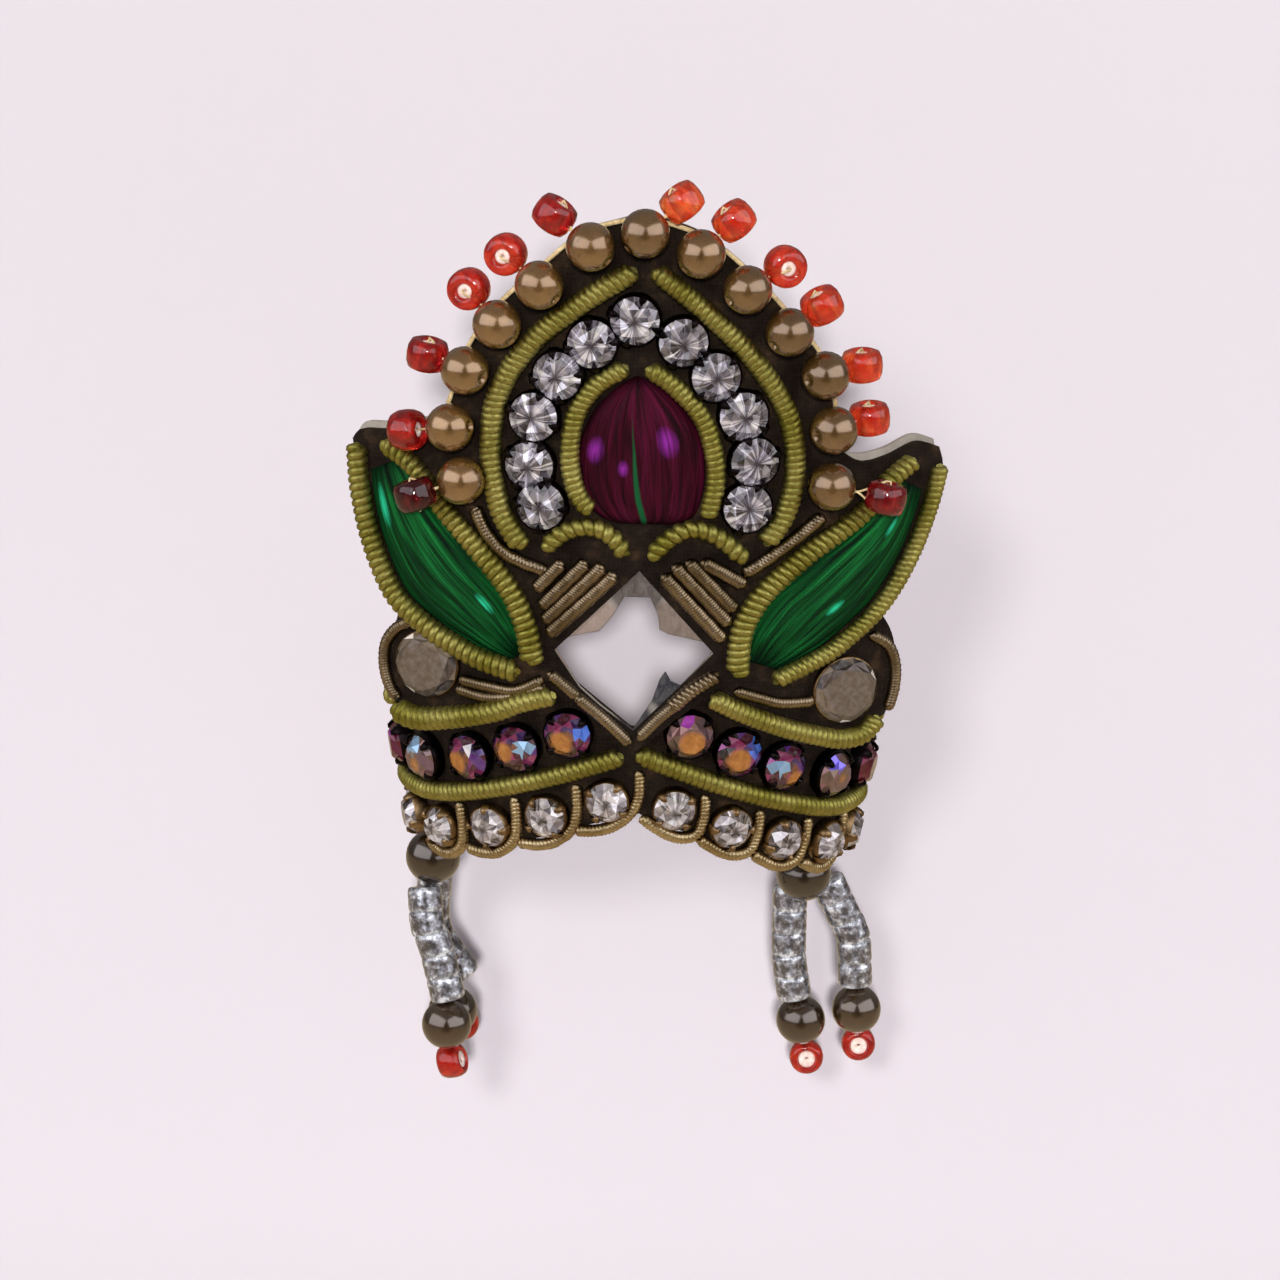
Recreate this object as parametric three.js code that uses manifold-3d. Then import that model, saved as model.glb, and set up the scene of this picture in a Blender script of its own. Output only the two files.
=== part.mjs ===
// A small embroidered crown for a deity figure, in millimetres, +Z up, its front facing -Y.
// A stiff oval band carries a curved front panel with a pointed arch, two leaves, two round lobes
// and a diamond opening. Wire coils, stones in cups, padded silk and beads are sewn on both.
// The origin is the middle of the band's lower edge, where the crown sits on the head.
import * as THREE from 'three';
import { mergeVertices } from 'three/addons/utils/BufferGeometryUtils.js';
import Module from 'manifold-3d';

const wasm = await Module();
wasm.setup();

// ---- driving dimensions ----
const BOARD = 1.2;               // cloth-covered board with its lining
const LINING = 0.5;              // the part of that thickness that is felt lining
const CLEAR = 0.2;               // what is sewn on stands this far off the cloth

const RIM_HALF_WIDTH = 14.5;     // half of the band's width at its lower edge
const OVAL = 0.7;                // the band's depth over its width
const FLARE = 0.18;              // how much the half-width grows for each mm of height

const PANEL_RADIUS = 36;         // curve of the front panel, seen from above
const PANEL_FRONT = 13.1;        // how far its face stands in front of the origin at PANEL_FOOT
const PANEL_FOOT = 12;
const PANEL_LEAN = 0.08;         // forward lean of the panel

const RISE = 4.7;                // the band's rows climb this much towards the front centre
const RISE_REACH = 16.2;         // and start to climb this far from it, along the band
const RISE_POWER = 1.4;
const SKEW = 0.3;                // hand-made: the right side sits a little lower

const BACK_HEIGHT = 5.2;         // the plain back strap
const SIDE_END = 27;             // the decorated rows end here, along the band
const ARC_HEIGHT = 6;            // lengths along the band are measured at this height

const PURL = { arch: 0.8, inner: 0.72, foot: 0.7, leaf: 0.74, panelFoot: 0.78, upper: 0.86, lower: 0.72 };
const TUBE = 0.42;               // radius of the fine old-gold tubes
const THREAD = 0.3;
const CUP = 1.5;                 // radius of a clear stone's cup
const VIOLET_CUP = 1.55;
const GOLD_BEAD = 1.64;
const RED_BEAD = { radius: 1.42, length: 2.1 };
const DROP_BALL = 1.98;
const END_BALL = 1.8;
const DROP_RED = { radius: 1.25, length: 1.8 };
const SILVER_BEAD = { radius: 1.27, length: 1.62 };
const THREAD_LIFT = 0.9;         // the thread through a row of cups stands this far off the cloth
const PICOT_STAND = 0.4;         // a picot's gold bead stands this far off it

// ---- rows on the band: height at the sides, and how strongly the row follows the rise ----
const ROWS = {
  cloth: { base: 0.3, gain: 1 },
  clear: { base: 1.75, gain: 1 },
  lower: { base: 4.3, gain: 1.09 },
  violet: { base: 6.8, gain: 1.2 },
  upper: { base: 9.6, gain: 1.3 },
  top: { base: 10.9, gain: 1.3 },
};

// ---- the panel's pattern: u is the length across the front, z the height ----
const OUTLINE = {
  arch: [
    { right: [3.9, 45.8], left: [-3.9, 46] },
    { right: [7.2, 43.3], left: [-7.3, 43.2] },
    { right: [10.1, 40.3], left: [-10.3, 40.3] },
    { right: [12.7, 37], left: [-12.4, 37] },
    { right: [13.6, 33.2], left: [-13.4, 33.8] },
    { right: [13.8, 30.9], left: [-14.3, 32.4] },
  ],
  leafTop: [
    { right: [15.6, 29.9], left: [-16.2, 31.7] },
    { right: [17.7, 30.2], left: [-18.4, 31.2] },
    { right: [20, 31], left: [-20.3, 31] },
    { right: [21.9, 30.5], left: [-21, 30.3] },
  ],
  leafSide: [
    { right: [22.3, 29], left: [-20.8, 28.6] },
    { right: [21.6, 26.5], left: [-20.5, 26.6] },
    { right: [20.3, 23.6], left: [-19.9, 24.2] },
    { right: [18.9, 21.2], left: [-19, 21.9] },
    { right: [17.6, 19], left: [-17.8, 19.4] },
  ],
  lobe: [
    { right: [18.5, 17.6], left: [-18.2, 17.9] },
    { right: [19, 15.6], left: [-18.7, 16] },
    { right: [19, 13.4], left: [-18.7, 14] },
    { right: [18.2, 11.6], left: [-18, 12.2] },
  ],
  foot: [
    { right: [16.3, 10.8], left: [-16.6, 11.2] },
    { right: [13, 11.3], left: [-13.4, 11.7] },
    { right: [9.5, 12.5], left: [-9.5, 12.8] },
    { right: [7, 13.8], left: [-7, 13.9] },
    { right: [5.9, 14.4], left: [-5.9, 14.5] },
  ],
};
const APEX = 47.1;
const VEE = 9.5;
const DIAMOND = [[-5.7, 16.6], [-3.9, 14], [-2.5, 12.8], [-0.1, 11], [5.4, 16.6], [0.1, 22.5]];
const LINING_HOLE = [
  [-5.7, 16.6], [-3.9, 14], [-2.5, 12.8], [-0.1, 11], [1.2, 13.1], [1.7, 14.6], [2.1, 15.2], [2.5, 14.5], [3.2, 14.2], [5.4, 16.6],
  [5.1, 17.2], [4.5, 17.4], [2.2, 17.9], [1.6, 18.2], [1.5, 19.2], [0.9, 20.5], [-0.9, 20.5], [-1.7, 19.1], [-2.6, 18], [-4, 17.7], [-5, 17.4],
];
const LINING_STAND = 0.45;       // the felt stands this far above the cloth along the leaf tips

const COILS = [
  { name: 'outer_arch_coil', radius: PURL.arch, steps: 13,
    left: [[-0.8, 43.3], [-4.3, 40.9], [-7.5, 38], [-9.5, 34.5], [-9.95, 30.5], [-9.3, 26.8], [-7.7, 24]],
    right: [[0.8, 43.3], [4.2, 40.5], [7.5, 37.1], [9.75, 33.4], [10.3, 29.5], [9.7, 26.7], [8.65, 25]] },
  { name: 'inner_arch_coil', radius: PURL.inner, steps: 8,
    left: [[-1.2, 36.7], [-3, 35.5], [-4.3, 33.4], [-4.65, 30.6], [-4.2, 28.2], [-3.3, 26.9]],
    right: [[0.5, 36.7], [2.2, 35.5], [4.1, 33.2], [4.95, 30.2], [4.9, 28.2], [4.5, 26.7]] },
  { name: 'arch_foot_coil', radius: PURL.foot, steps: 7,
    left: [[-6.1, 24.2], [-4.9, 25.3], [-3.2, 25.7], [-1.8, 25.1], [-0.9, 23.9]],
    right: [[0.9, 23.8], [1.8, 24.8], [3, 25.6], [4.3, 25.6], [5.9, 24.7], [6.9, 23.6]] },
  { name: 'leaf_outer_coil', radius: PURL.leaf, steps: 14,
    left: [[-19.9, 30], [-19.6, 27], [-18.6, 23.3], [-16.8, 19.8], [-14.3, 17.8], [-12.3, 16.7], [-10.5, 15.9], [-8.8, 15.4]],
    right: [[21.3, 29.2], [20.5, 26.3], [19, 22.8], [16.9, 19.7], [14, 17.2], [12.3, 16.2], [9.5, 14.9]] },
  { name: 'leaf_inner_coil', radius: PURL.leaf, steps: 14,
    left: [[-17.7, 30.4], [-15.5, 29.1], [-13.3, 26.4], [-10.8, 23.7], [-8.6, 21.1], [-7.5, 18.9], [-7.1, 17]],
    right: [[19, 29.9], [17, 28.5], [15.6, 26.8], [13.6, 25.3], [11.5, 23.9], [9.5, 22.2], [8.4, 21.1], [7.4, 19.5], [6.9, 17.9], [6.8, 15.9]] },
  { name: 'foot_coil', radius: PURL.panelFoot, steps: 12,
    left: [[-17.1, 12], [-16.5, 11.4], [-14.8, 11.2], [-12.6, 11.5], [-9.6, 12.2], [-7.7, 13], [-5.6, 13.6]],
    right: [[16.9, 11.6], [15.9, 10.6], [14.2, 10.4], [12.8, 10.7], [11.3, 11.1], [9.5, 11.7], [7.1, 12.7], [5.3, 13.7]] },
];

const FAN_TUBES = {
  left: [[[-6.7, 21.2], [-5.1, 23]], [[-6.3, 20], [-3.5, 23.1]], [[-6.1, 19], [-2.4, 22.9]], [[-5.8, 18.1], [-1.6, 22.3]]],
  right: [[[4.4, 23.3], [5.5, 22.7], [7, 21.8]], [[3.4, 23.3], [6.4, 20.1]], [[2.5, 23], [6.1, 19.1]], [[1.8, 22.3], [5.7, 18]]],
};
const FAN_BEDS = {
  left: [[-6.6, 21.2], [-5.8, 18.2], [-1.7, 22.2], [-3, 23], [-5.2, 22.8]],
  right: [[6.9, 21.8], [5.4, 22.7], [3.3, 23.1], [1.9, 22.3], [5.8, 18.1]],
};
// From under the round stone to the panel's corner, then down along the opening's lower edge.
const VEE_TUBES = {
  left: [[-11.5, 14.3], [-10.2, 14], [-8.7, 14], [-7.3, 14.55], [-6.2, 15.15], [-5.4, 14.95], [-4.1, 13.8], [-2.3, 12.4], [-0.6, 10.8]],
  right: [[0.5, 11], [1.6, 12.3], [2.6, 13.3], [3.7, 14.3], [5, 15.2], [5.8, 15.1], [7, 14.2], [8.5, 13.65], [9.9, 13.3], [11.7, 13.3]],
};
const SIDE_TUBES = {
  left: [[-10.9, 26.4], [-10.3, 24.9], [-9.2, 23.6], [-8.1, 22.9], [-7.2, 22.6]],
  right: [[12.3, 26.2], [10.2, 24.5], [8.3, 23.1]],
};
const ROUND_STONES = { left: [-14.45, 14.5], right: [14.6, 14.1] };
const ROUND_STONE = { radius: 2.05, height: 1.3 };
const STONE_LOOPS = {
  left: [[-16.2, 17.4], [-17, 16.7], [-17.5, 15.4], [-17.5, 13.7]],
  right: [[16.5, 16.9], [17.5, 16], [17.9, 14.6], [17.8, 12.8]],
};
const ARCH_STONES = {
  left: [[-0.5, 40.1], [-3.3, 38.4], [-5.5, 36.1], [-7.05, 33.2], [-7.3, 29.9], [-6.5, 27.1]],
  right: [[2.6, 38.7], [4.8, 36.3], [6.7, 33.6], [7.5, 30.4], [7.15, 27.3]],
};

// A picot: a gold bead on the arch's edge and the red bead beyond it, which its hole turns
// to the front or along the edge. lift is how far the red bead's middle stands off the panel.
const PICOTS = [
  { gold: [-12.1, 28.6], red: [-14.7, 27.6], lift: 3.35, hole: 'along' },
  { gold: [-12.4, 32.2], red: [-15.5, 31.7], lift: 1.75, hole: 'out' },
  { gold: [-11.4, 36.2], red: [-14.5, 36.9], lift: 0.9, hole: 'along' },
  { gold: [-9.3, 39.5], red: [-11.6, 41.6], lift: 0.9, hole: 'front' },
  { gold: [-6.6, 42.3], red: [-9.1, 44.1], lift: 0.9, hole: 'front' },
  { gold: [-3.4, 45], red: [-5.9, 46.9], lift: 0.9, hole: 'along' },
  { gold: [0, 46], red: [2.3, 48], lift: 0.9, hole: 'along' },
  { gold: [3.5, 44.7], red: [5.7, 46.8], lift: 0.9, hole: 'along' },
  { gold: [6.5, 42.3], red: [9.2, 43.7], lift: 0.9, hole: 'front' },
  { gold: [9.3, 39.4], red: [11.8, 41], lift: 0.9, hole: 'along' },
  { gold: [11.8, 36.4], red: [14.8, 36.8], lift: 0.9, hole: 'along' },
  { gold: [12.5, 32.6], red: [15.5, 33.1], lift: 0.9, hole: 'along' },
  { gold: [12.5, 28.7], red: [15.7, 28], lift: 3.35, hole: 'along' },
];

const CLEAR_STONES = { left: [-1.7, -5.9, -10.3, -14.9, -19.1, -23.4], right: [2.8, 6.9, 11.1, 15.6, 19.8, 24.1] };
const VIOLET_STONES = { left: [-4.2, -7.7, -11.3, -15.7, -19.8, -23.8], right: [3.6, 6.85, 10.2, 14.6, 18.9, 23.1] };
const SCALLOP_REACH = 16;        // only the stones in front have a scallop under them
const SCALLOP = [[2.1, 1.4], [2.1, -0.1], [1.7, -1.4], [0.6, -2.05], [-0.6, -2.1], [-1.8, -1.9]];
const SCALLOP_RADIUS = 0.36;

const DROPS = [
  { side: 'left', ball: [-14.3, -0.9, -1.6],
    strings: [
      { name: 'front', path: [[-14.8, -1.5, -4.65], [-14.6, -1.9, -6.4], [-13.95, -2.2, -8.1], [-13.2, -2.5, -10.95]],
        end: [-13.1, -2.6, -13.7], red: [-12.7, -1.8, -16.75], hole: 'side' },
      { name: 'back', path: [[-14.3, 1.2, -4.4], [-14.4, 1.2, -6.4], [-14, 1.2, -8.2], [-12.5, 1.3, -10.5]],
        neck: [-12.5, 1.3, -11.8], end: [-12.85, 1.35, -13.95], red: [-12.25, 4.2, -15.8], hole: 'front' },
    ] },
  { side: 'right', ball: [12.45, -0.7, -2.35],
    strings: [
      { name: 'inner', path: [[11.6, 1.3, -4.75], [11.6, 1.2, -7], [11.65, 1.1, -9.2], [12, 1.1, -11.4]],
        end: [12.65, 1.3, -14.05], red: [13.2, 2.5, -17.25], hole: 'front' },
      { name: 'outer', path: [[14.6, 1.4, -4.1], [15.35, 1.4, -5.65], [16.25, 1.4, -7.6], [16.5, 1.4, -10.4]],
        end: [16.7, 1.4, -13.15], red: [17, 2.7, -16.2], hole: 'front' },
    ] },
];
const STRING_BEADS = 5;

// ---- materials ----
function finish(color, roughness, metalness) {
  return new THREE.MeshStandardMaterial({ color, roughness, metalness });
}
const BLACK_CLOTH = finish(0x17130f, 0.95, 0);
const LIME_PURL = finish(0x8f9a3c, 0.35, 0.9);
const OLD_GOLD = finish(0x8c744e, 0.4, 0.9);
const GOLD = finish(0x9c7a40, 0.2, 1);
const CLEAR_STONE = finish(0xc8c8d0, 0.1, 0.2);
const VIOLET_STONE = finish(0x5a2a66, 0.12, 0.4);
const SMOKE_STONE = finish(0x7f6f5c, 0.2, 0.1);
const GREEN_SILK = finish(0x17562c, 0.45, 0);
const MAGENTA_SILK = finish(0x5c0c30, 0.4, 0.1);
const SILVER_GLASS = finish(0x9a9ca0, 0.15, 0.6);

// ---- surfaces ----
const across = new THREE.Vector3(0, 1, 0);

function halfWidth(z) {
  return RIM_HALF_WIDTH + FLARE * z;
}

// Lengths along the band from the front centre, for each degree of the oval's turn.
const BAND_ARC = [0];
for (let degree = 1; degree <= 180; degree += 1) {
  const turn = THREE.MathUtils.degToRad(degree - 0.5);
  const width = halfWidth(ARC_HEIGHT);
  const speed = Math.hypot(width * Math.cos(turn), OVAL * width * Math.sin(turn));
  BAND_ARC.push(BAND_ARC[degree - 1] + THREE.MathUtils.degToRad(speed));
}
const BAND_HALF_LENGTH = BAND_ARC[180];

function turnAt(s) {
  const length = Math.min(Math.abs(s), BAND_HALF_LENGTH - 0.001);
  const degree = BAND_ARC.findIndex((reach) => reach > length) - 1;
  const part = (length - BAND_ARC[degree]) / (BAND_ARC[degree + 1] - BAND_ARC[degree]);
  return Math.sign(s) * THREE.MathUtils.degToRad(degree + part);
}

function onOval(turn, z, lift) {
  const a = halfWidth(z);
  const b = OVAL * a;
  const out = new THREE.Vector2(b * Math.sin(turn), -a * Math.cos(turn)).normalize();
  return new THREE.Vector3(a * Math.sin(turn) + lift * out.x, -b * Math.cos(turn) + lift * out.y, z);
}

function onBand(s, z, lift) {
  return onOval(turnAt(s), z, lift);
}

function onPanel(u, z, lift) {
  const turn = u / PANEL_RADIUS;
  const front = -(PANEL_FRONT + PANEL_LEAN * (z - PANEL_FOOT));
  const reach = PANEL_RADIUS + lift;
  return new THREE.Vector3(reach * Math.sin(turn), front + PANEL_RADIUS - reach * Math.cos(turn), z);
}

function rise(s) {
  return RISE * Math.max(0, 1 - Math.abs(s) / RISE_REACH) ** RISE_POWER;
}

function rowHeight(row, s) {
  return row.base + row.gain * rise(s) - SKEW * Math.sin(turnAt(s));
}

// The frame on a surface: x along it, y up it, z straight out of it.
function frameOn(surface, u, z, lift) {
  const step = 0.01;
  const point = surface(u, z, lift);
  const along = surface(u + step, z, lift).sub(point).normalize();
  const up = surface(u, z + step, lift).sub(point).normalize();
  const out = along.clone().cross(up).normalize();
  up.copy(out).cross(along);
  return new THREE.Matrix4().makeBasis(along, up, out).setPosition(point);
}

// ---- solids ----
function solid(geometry) {
  const bare = geometry.clone();
  bare.deleteAttribute('normal');
  bare.deleteAttribute('uv');
  const merged = mergeVertices(bare, 1e-4);
  return new wasm.Manifold(new wasm.Mesh({
    numProp: 3,
    vertProperties: new Float32Array(merged.attributes.position.array),
    triVerts: new Uint32Array(merged.index.array),
  }));
}

function joined(geometries) {
  return geometries.map(solid).reduce((sum, next) => sum.add(next));
}

function geometryOf(manifold) {
  const mesh = manifold.getMesh();
  const geometry = new THREE.BufferGeometry();
  geometry.setAttribute('position', new THREE.BufferAttribute(mesh.vertProperties, 3));
  geometry.setIndex(new THREE.BufferAttribute(mesh.triVerts, 1));
  geometry.computeVertexNormals();
  return geometry;
}

function polygon(radius, sides) {
  const corners = Array.from({ length: sides }, (_, corner) => {
    const turn = (2 * Math.PI * (corner + 0.5)) / sides;
    return new THREE.Vector2(radius * Math.cos(turn), radius * Math.sin(turn));
  });
  return new THREE.Shape(corners);
}

function tubeThrough(points, radius, sides, steps) {
  const path = new THREE.CatmullRomCurve3(points, false, 'centripetal');
  return new THREE.ExtrudeGeometry(polygon(radius, sides), { steps, extrudePath: path, bevelEnabled: false });
}

function tubeOn(surface, pattern, lift, radius, sides, steps) {
  const flat = new THREE.SplineCurve(pattern.map(([u, z]) => new THREE.Vector2(u, z)));
  const points = flat.getSpacedPoints(steps).map((point) => surface(point.x, point.y, lift));
  return tubeThrough(points, radius, sides, steps);
}

function straightTube(from, to, radius, sides) {
  return tubeThrough([from, from.clone().lerp(to, 0.5), to], radius, sides, 1);
}

function turnedTo(geometry, axis, centre) {
  geometry.applyQuaternion(new THREE.Quaternion().setFromUnitVectors(across, axis));
  geometry.translate(centre.x, centre.y, centre.z);
  return geometry;
}

function ball(centre, radius, around = 8, down = 6) {
  return new THREE.SphereGeometry(radius, around, down).translate(centre.x, centre.y, centre.z);
}

// A seed bead is a short barrel with rounded rims.
function barrel({ radius, length }, axis, centre) {
  const profile = [[0, -0.5], [0.8, -0.5], [1, 0], [0.8, 0.5], [0, 0.5]];
  const points = profile.map(([out, along]) => new THREE.Vector2(out * radius, along * length));
  return turnedTo(new THREE.LatheGeometry(points, 6), axis, centre);
}

// A stone in its cup: a straight cup wall and a crown that slopes up to a flat table.
function cupStone(surface, u, z, radius) {
  const profile = [[0, 0], [1, 0], [1, 0.62], [0.6, 1.15], [0, 1.15]];
  const points = profile.map(([out, high]) => new THREE.Vector2(out * radius, high * 1.5));
  const stone = new THREE.LatheGeometry(points, 7).rotateX(Math.PI / 2);
  return stone.applyMatrix4(frameOn(surface, u, z, CLEAR));
}

function vector(list) {
  return new THREE.Vector3(...list);
}

// ---- assembly ----
const crown = new THREE.Group();

function addNode(name, geometry, material) {
  const mesh = new THREE.Mesh(geometry, material);
  mesh.name = name;
  crown.add(mesh);
}

// ---- the band ----
function bandTop(s) {
  const reach = Math.abs(s);
  const fall = THREE.MathUtils.smoothstep(reach, SIDE_END - 4, SIDE_END + 7);
  const side = THREE.MathUtils.lerp(rowHeight(ROWS.top, s), BACK_HEIGHT, fall);
  const notch = 10.7 + 0.85 * reach;
  return Math.min(side, notch);
}

// A ring of four-cornered sections, whose lower and upper edges follow the rows.
function bandRing() {
  const section = [[0, 0], [1, 0], [1, 1], [0, 1], [0, 0]];
  const ring = new THREE.LatheGeometry(section.map(([out, high]) => new THREE.Vector2(10 + out, high)), 48);
  const corners = ring.attributes.position;
  for (let index = 0; index < corners.count; index += 1) {
    const turn = Math.atan2(corners.getX(index), corners.getZ(index));
    const outer = Math.hypot(corners.getX(index), corners.getZ(index)) > 10.5;
    const s = lengthAt(turn);
    const low = rowHeight(ROWS.cloth, s);
    const z = THREE.MathUtils.lerp(low, bandTop(s), corners.getY(index));
    const place = onOval(turn, z, outer ? 0 : -BOARD);
    corners.setXYZ(index, place.x, place.y, place.z);
  }
  return ring;
}

function lengthAt(turn) {
  const degrees = THREE.MathUtils.radToDeg(Math.abs(turn));
  const whole = Math.min(Math.floor(degrees), 179);
  return Math.sign(turn) * THREE.MathUtils.lerp(BAND_ARC[whole], BAND_ARC[whole + 1], degrees - whole);
}

addNode('crown_band', geometryOf(solid(bandRing())), BLACK_CLOTH);

// ---- the front panel ----
function curvedSheet(outerLift, innerLift) {
  const reach = 24 / PANEL_RADIUS;
  const outer = PANEL_RADIUS + outerLift;
  const inner = PANEL_RADIUS + innerLift;
  const section = new THREE.Shape();
  const down = -Math.PI / 2;
  section.absarc(0, 0, outer, down - reach, down + reach, false);
  section.absarc(0, 0, inner, down + reach, down - reach, true);
  const sheet = new THREE.ExtrudeGeometry(section, { depth: 42, bevelEnabled: false, curveSegments: 8 });
  sheet.translate(0, PANEL_RADIUS - PANEL_FRONT, 8);
  const lean = new THREE.Matrix4().set(
    1, 0, 0, 0,
    0, 1, -PANEL_LEAN, PANEL_LEAN * PANEL_FOOT,
    0, 0, 1, 0,
    0, 0, 0, 1,
  );
  return solid(sheet.applyMatrix4(lean));
}

function frontPoint([u, z]) {
  return new THREE.Vector2(PANEL_RADIUS * Math.sin(u / PANEL_RADIUS), z);
}

// The pattern's outline seen from the front, with the felt's stand above the leaf tips.
function panelShape(stand) {
  const edges = (side) => [OUTLINE.arch, OUTLINE.leafTop, OUTLINE.leafSide, OUTLINE.lobe, OUTLINE.foot]
    .map((edge) => edge.map((row) => frontPoint([row[side][0], row[side][1] + (edge === OUTLINE.leafTop ? stand : 0)])));
  const shape = new THREE.Shape();
  shape.moveTo(0, APEX);
  edges('right').forEach((edge) => shape.splineThru(edge));
  shape.lineTo(0, VEE);
  edges('left').reverse().forEach((edge) => {
    const back = edge.reverse();
    shape.lineTo(back[0].x, back[0].y);
    shape.splineThru(back.slice(1));
  });
  return shape;
}

function frontPrism(shape) {
  const prism = new THREE.ExtrudeGeometry(shape, { depth: 24, bevelEnabled: false, curveSegments: 2 });
  return solid(prism.rotateX(Math.PI / 2).translate(0, 2, 0));
}

function holeShape(corners) {
  return new THREE.Shape(corners.map(frontPoint));
}

const cloth = curvedSheet(0, -BOARD + LINING - 0.05)
  .intersect(frontPrism(panelShape(0)))
  .subtract(frontPrism(holeShape(DIAMOND)));
const felt = curvedSheet(-BOARD + LINING, -BOARD)
  .intersect(frontPrism(panelShape(LINING_STAND)))
  .subtract(frontPrism(holeShape(LINING_HOLE)));
addNode('front_panel', geometryOf(cloth.add(felt)), BLACK_CLOTH);

// ---- padded silk ----
function cushionLift(high, height) {
  return CLEAR + (high > 0 ? height * high ** 0.6 : 0);
}

// A low cushion on the panel between two edges: flat under, domed over, closed at both ends.
function padBetween(edgeA, edgeB, height) {
  const pad = new THREE.SphereGeometry(1, 10, 9).rotateZ(Math.PI / 2);
  const corners = pad.attributes.position;
  const curveA = new THREE.SplineCurve(edgeA.map(([u, z]) => new THREE.Vector2(u, z)));
  const curveB = new THREE.SplineCurve(edgeB.map(([u, z]) => new THREE.Vector2(u, z)));
  for (let index = 0; index < corners.count; index += 1) {
    const along = THREE.MathUtils.clamp((corners.getX(index) + 1) / 2, 0, 1);
    const girth = Math.sqrt(Math.max(1e-9, 1 - corners.getX(index) ** 2));
    const over = THREE.MathUtils.clamp((corners.getY(index) / girth + 1) / 2, 0, 1);
    const flat = curveA.getPointAt(along).lerp(curveB.getPointAt(along), over);
    const place = onPanel(flat.x, flat.y, cushionLift(corners.getZ(index), height));
    corners.setXYZ(index, place.x, place.y, place.z);
  }
  return pad;
}

const LEAF_PADS = {
  left: {
    outer: [[-18.5, 29.4], [-18.5, 26.6], [-17.4, 23], [-15.7, 20.4], [-13.4, 18.7], [-10.6, 17.3], [-8.4, 16.8]],
    inner: [[-18, 29.4], [-16.3, 28], [-14.3, 25.8], [-11.9, 23.1], [-9.6, 20.6], [-8.8, 18.6], [-8.4, 16.8]],
  },
  right: {
    outer: [[19.8, 29], [19.4, 26.2], [17.9, 23], [16, 20.7], [13.6, 18.7], [11.2, 17.3], [8.5, 16.4]],
    inner: [[19.3, 29], [17.9, 27.6], [15.9, 25.4], [13.1, 23.2], [10.2, 20.9], [8.9, 18.9], [8.3, 16.4]],
  },
};
const ARCH_PAD = { middle: [0.1, 30.8], halfWidth: 3.6, halfHeight: 4.6, height: 1 };

for (const side of ['left', 'right']) {
  const { outer, inner } = LEAF_PADS[side];
  const edges = side === 'left' ? [outer, inner] : [inner, outer];
  addNode(`leaf_pad_${side}`, geometryOf(solid(padBetween(edges[0], edges[1], 0.9))), GREEN_SILK);
}

function archPad() {
  const pad = new THREE.SphereGeometry(1, 12, 7).rotateX(Math.PI / 2);
  const corners = pad.attributes.position;
  for (let index = 0; index < corners.count; index += 1) {
    const u = ARCH_PAD.middle[0] + ARCH_PAD.halfWidth * corners.getX(index);
    const z = ARCH_PAD.middle[1] + ARCH_PAD.halfHeight * corners.getY(index);
    const place = onPanel(u, z, cushionLift(corners.getZ(index), ARCH_PAD.height));
    corners.setXYZ(index, place.x, place.y, place.z);
  }
  return pad;
}
addNode('arch_pad', geometryOf(solid(archPad())), MAGENTA_SILK);

// ---- coiled wire on the panel ----
for (const coil of COILS) {
  for (const side of ['left', 'right']) {
    const tube = tubeOn(onPanel, coil[side], coil.radius + CLEAR, coil.radius, 6, coil.steps);
    addNode(`${coil.name}_${side}`, tube, LIME_PURL);
  }
}

// ---- coiled wire on the band ----
const UPPER_COIL_START = 16;     // the upper coil is on the band's sides only, behind the panel's lobes
function bandCoil(row, radius, from, to, steps) {
  const points = Array.from({ length: steps + 1 }, (_, step) => {
    const s = THREE.MathUtils.lerp(from, to, step / steps);
    return onBand(s, rowHeight(row, s), radius + CLEAR);
  });
  return tubeThrough(points, radius, 6, steps);
}
for (const [side, sign] of [['left', -1], ['right', 1]]) {
  const upper = bandCoil(ROWS.upper, PURL.upper, sign * UPPER_COIL_START, sign * SIDE_END, 9);
  addNode(`band_upper_coil_${side}`, upper, LIME_PURL);
  const lower = bandCoil(ROWS.lower, PURL.lower, sign * 0.9, sign * (BAND_HALF_LENGTH - 0.8), 22);
  addNode(`band_lower_coil_${side}`, lower, LIME_PURL);
}

// ---- fine old-gold tubes ----
// The tubes of a fan lie side by side on one thin bed of cloth.
function fanBed(pattern) {
  const bed = new THREE.ExtrudeGeometry(new THREE.Shape(pattern.map(([u, z]) => new THREE.Vector2(u, z))), {
    depth: 0.3, bevelEnabled: false,
  });
  const corners = bed.attributes.position;
  for (let index = 0; index < corners.count; index += 1) {
    const place = onPanel(corners.getX(index), corners.getY(index), CLEAR + corners.getZ(index));
    corners.setXYZ(index, place.x, place.y, place.z);
  }
  return bed;
}

for (const side of ['left', 'right']) {
  const lift = TUBE + CLEAR;
  const fan = FAN_TUBES[side].map((tube) => tubeOn(onPanel, tube, lift, TUBE, 5, 2));
  addNode(`tube_fan_${side}`, geometryOf(joined([fanBed(FAN_BEDS[side]), ...fan])), OLD_GOLD);
  addNode(`vee_tube_${side}`, tubeOn(onPanel, VEE_TUBES[side], lift + 0.05, TUBE + 0.03, 6, 16), OLD_GOLD);
  addNode(`side_tube_${side}`, tubeOn(onPanel, SIDE_TUBES[side], lift, TUBE, 6, 6), OLD_GOLD);
  addNode(`stone_loop_${side}`, tubeOn(onPanel, STONE_LOOPS[side], lift, TUBE, 6, 6), OLD_GOLD);
}

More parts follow.
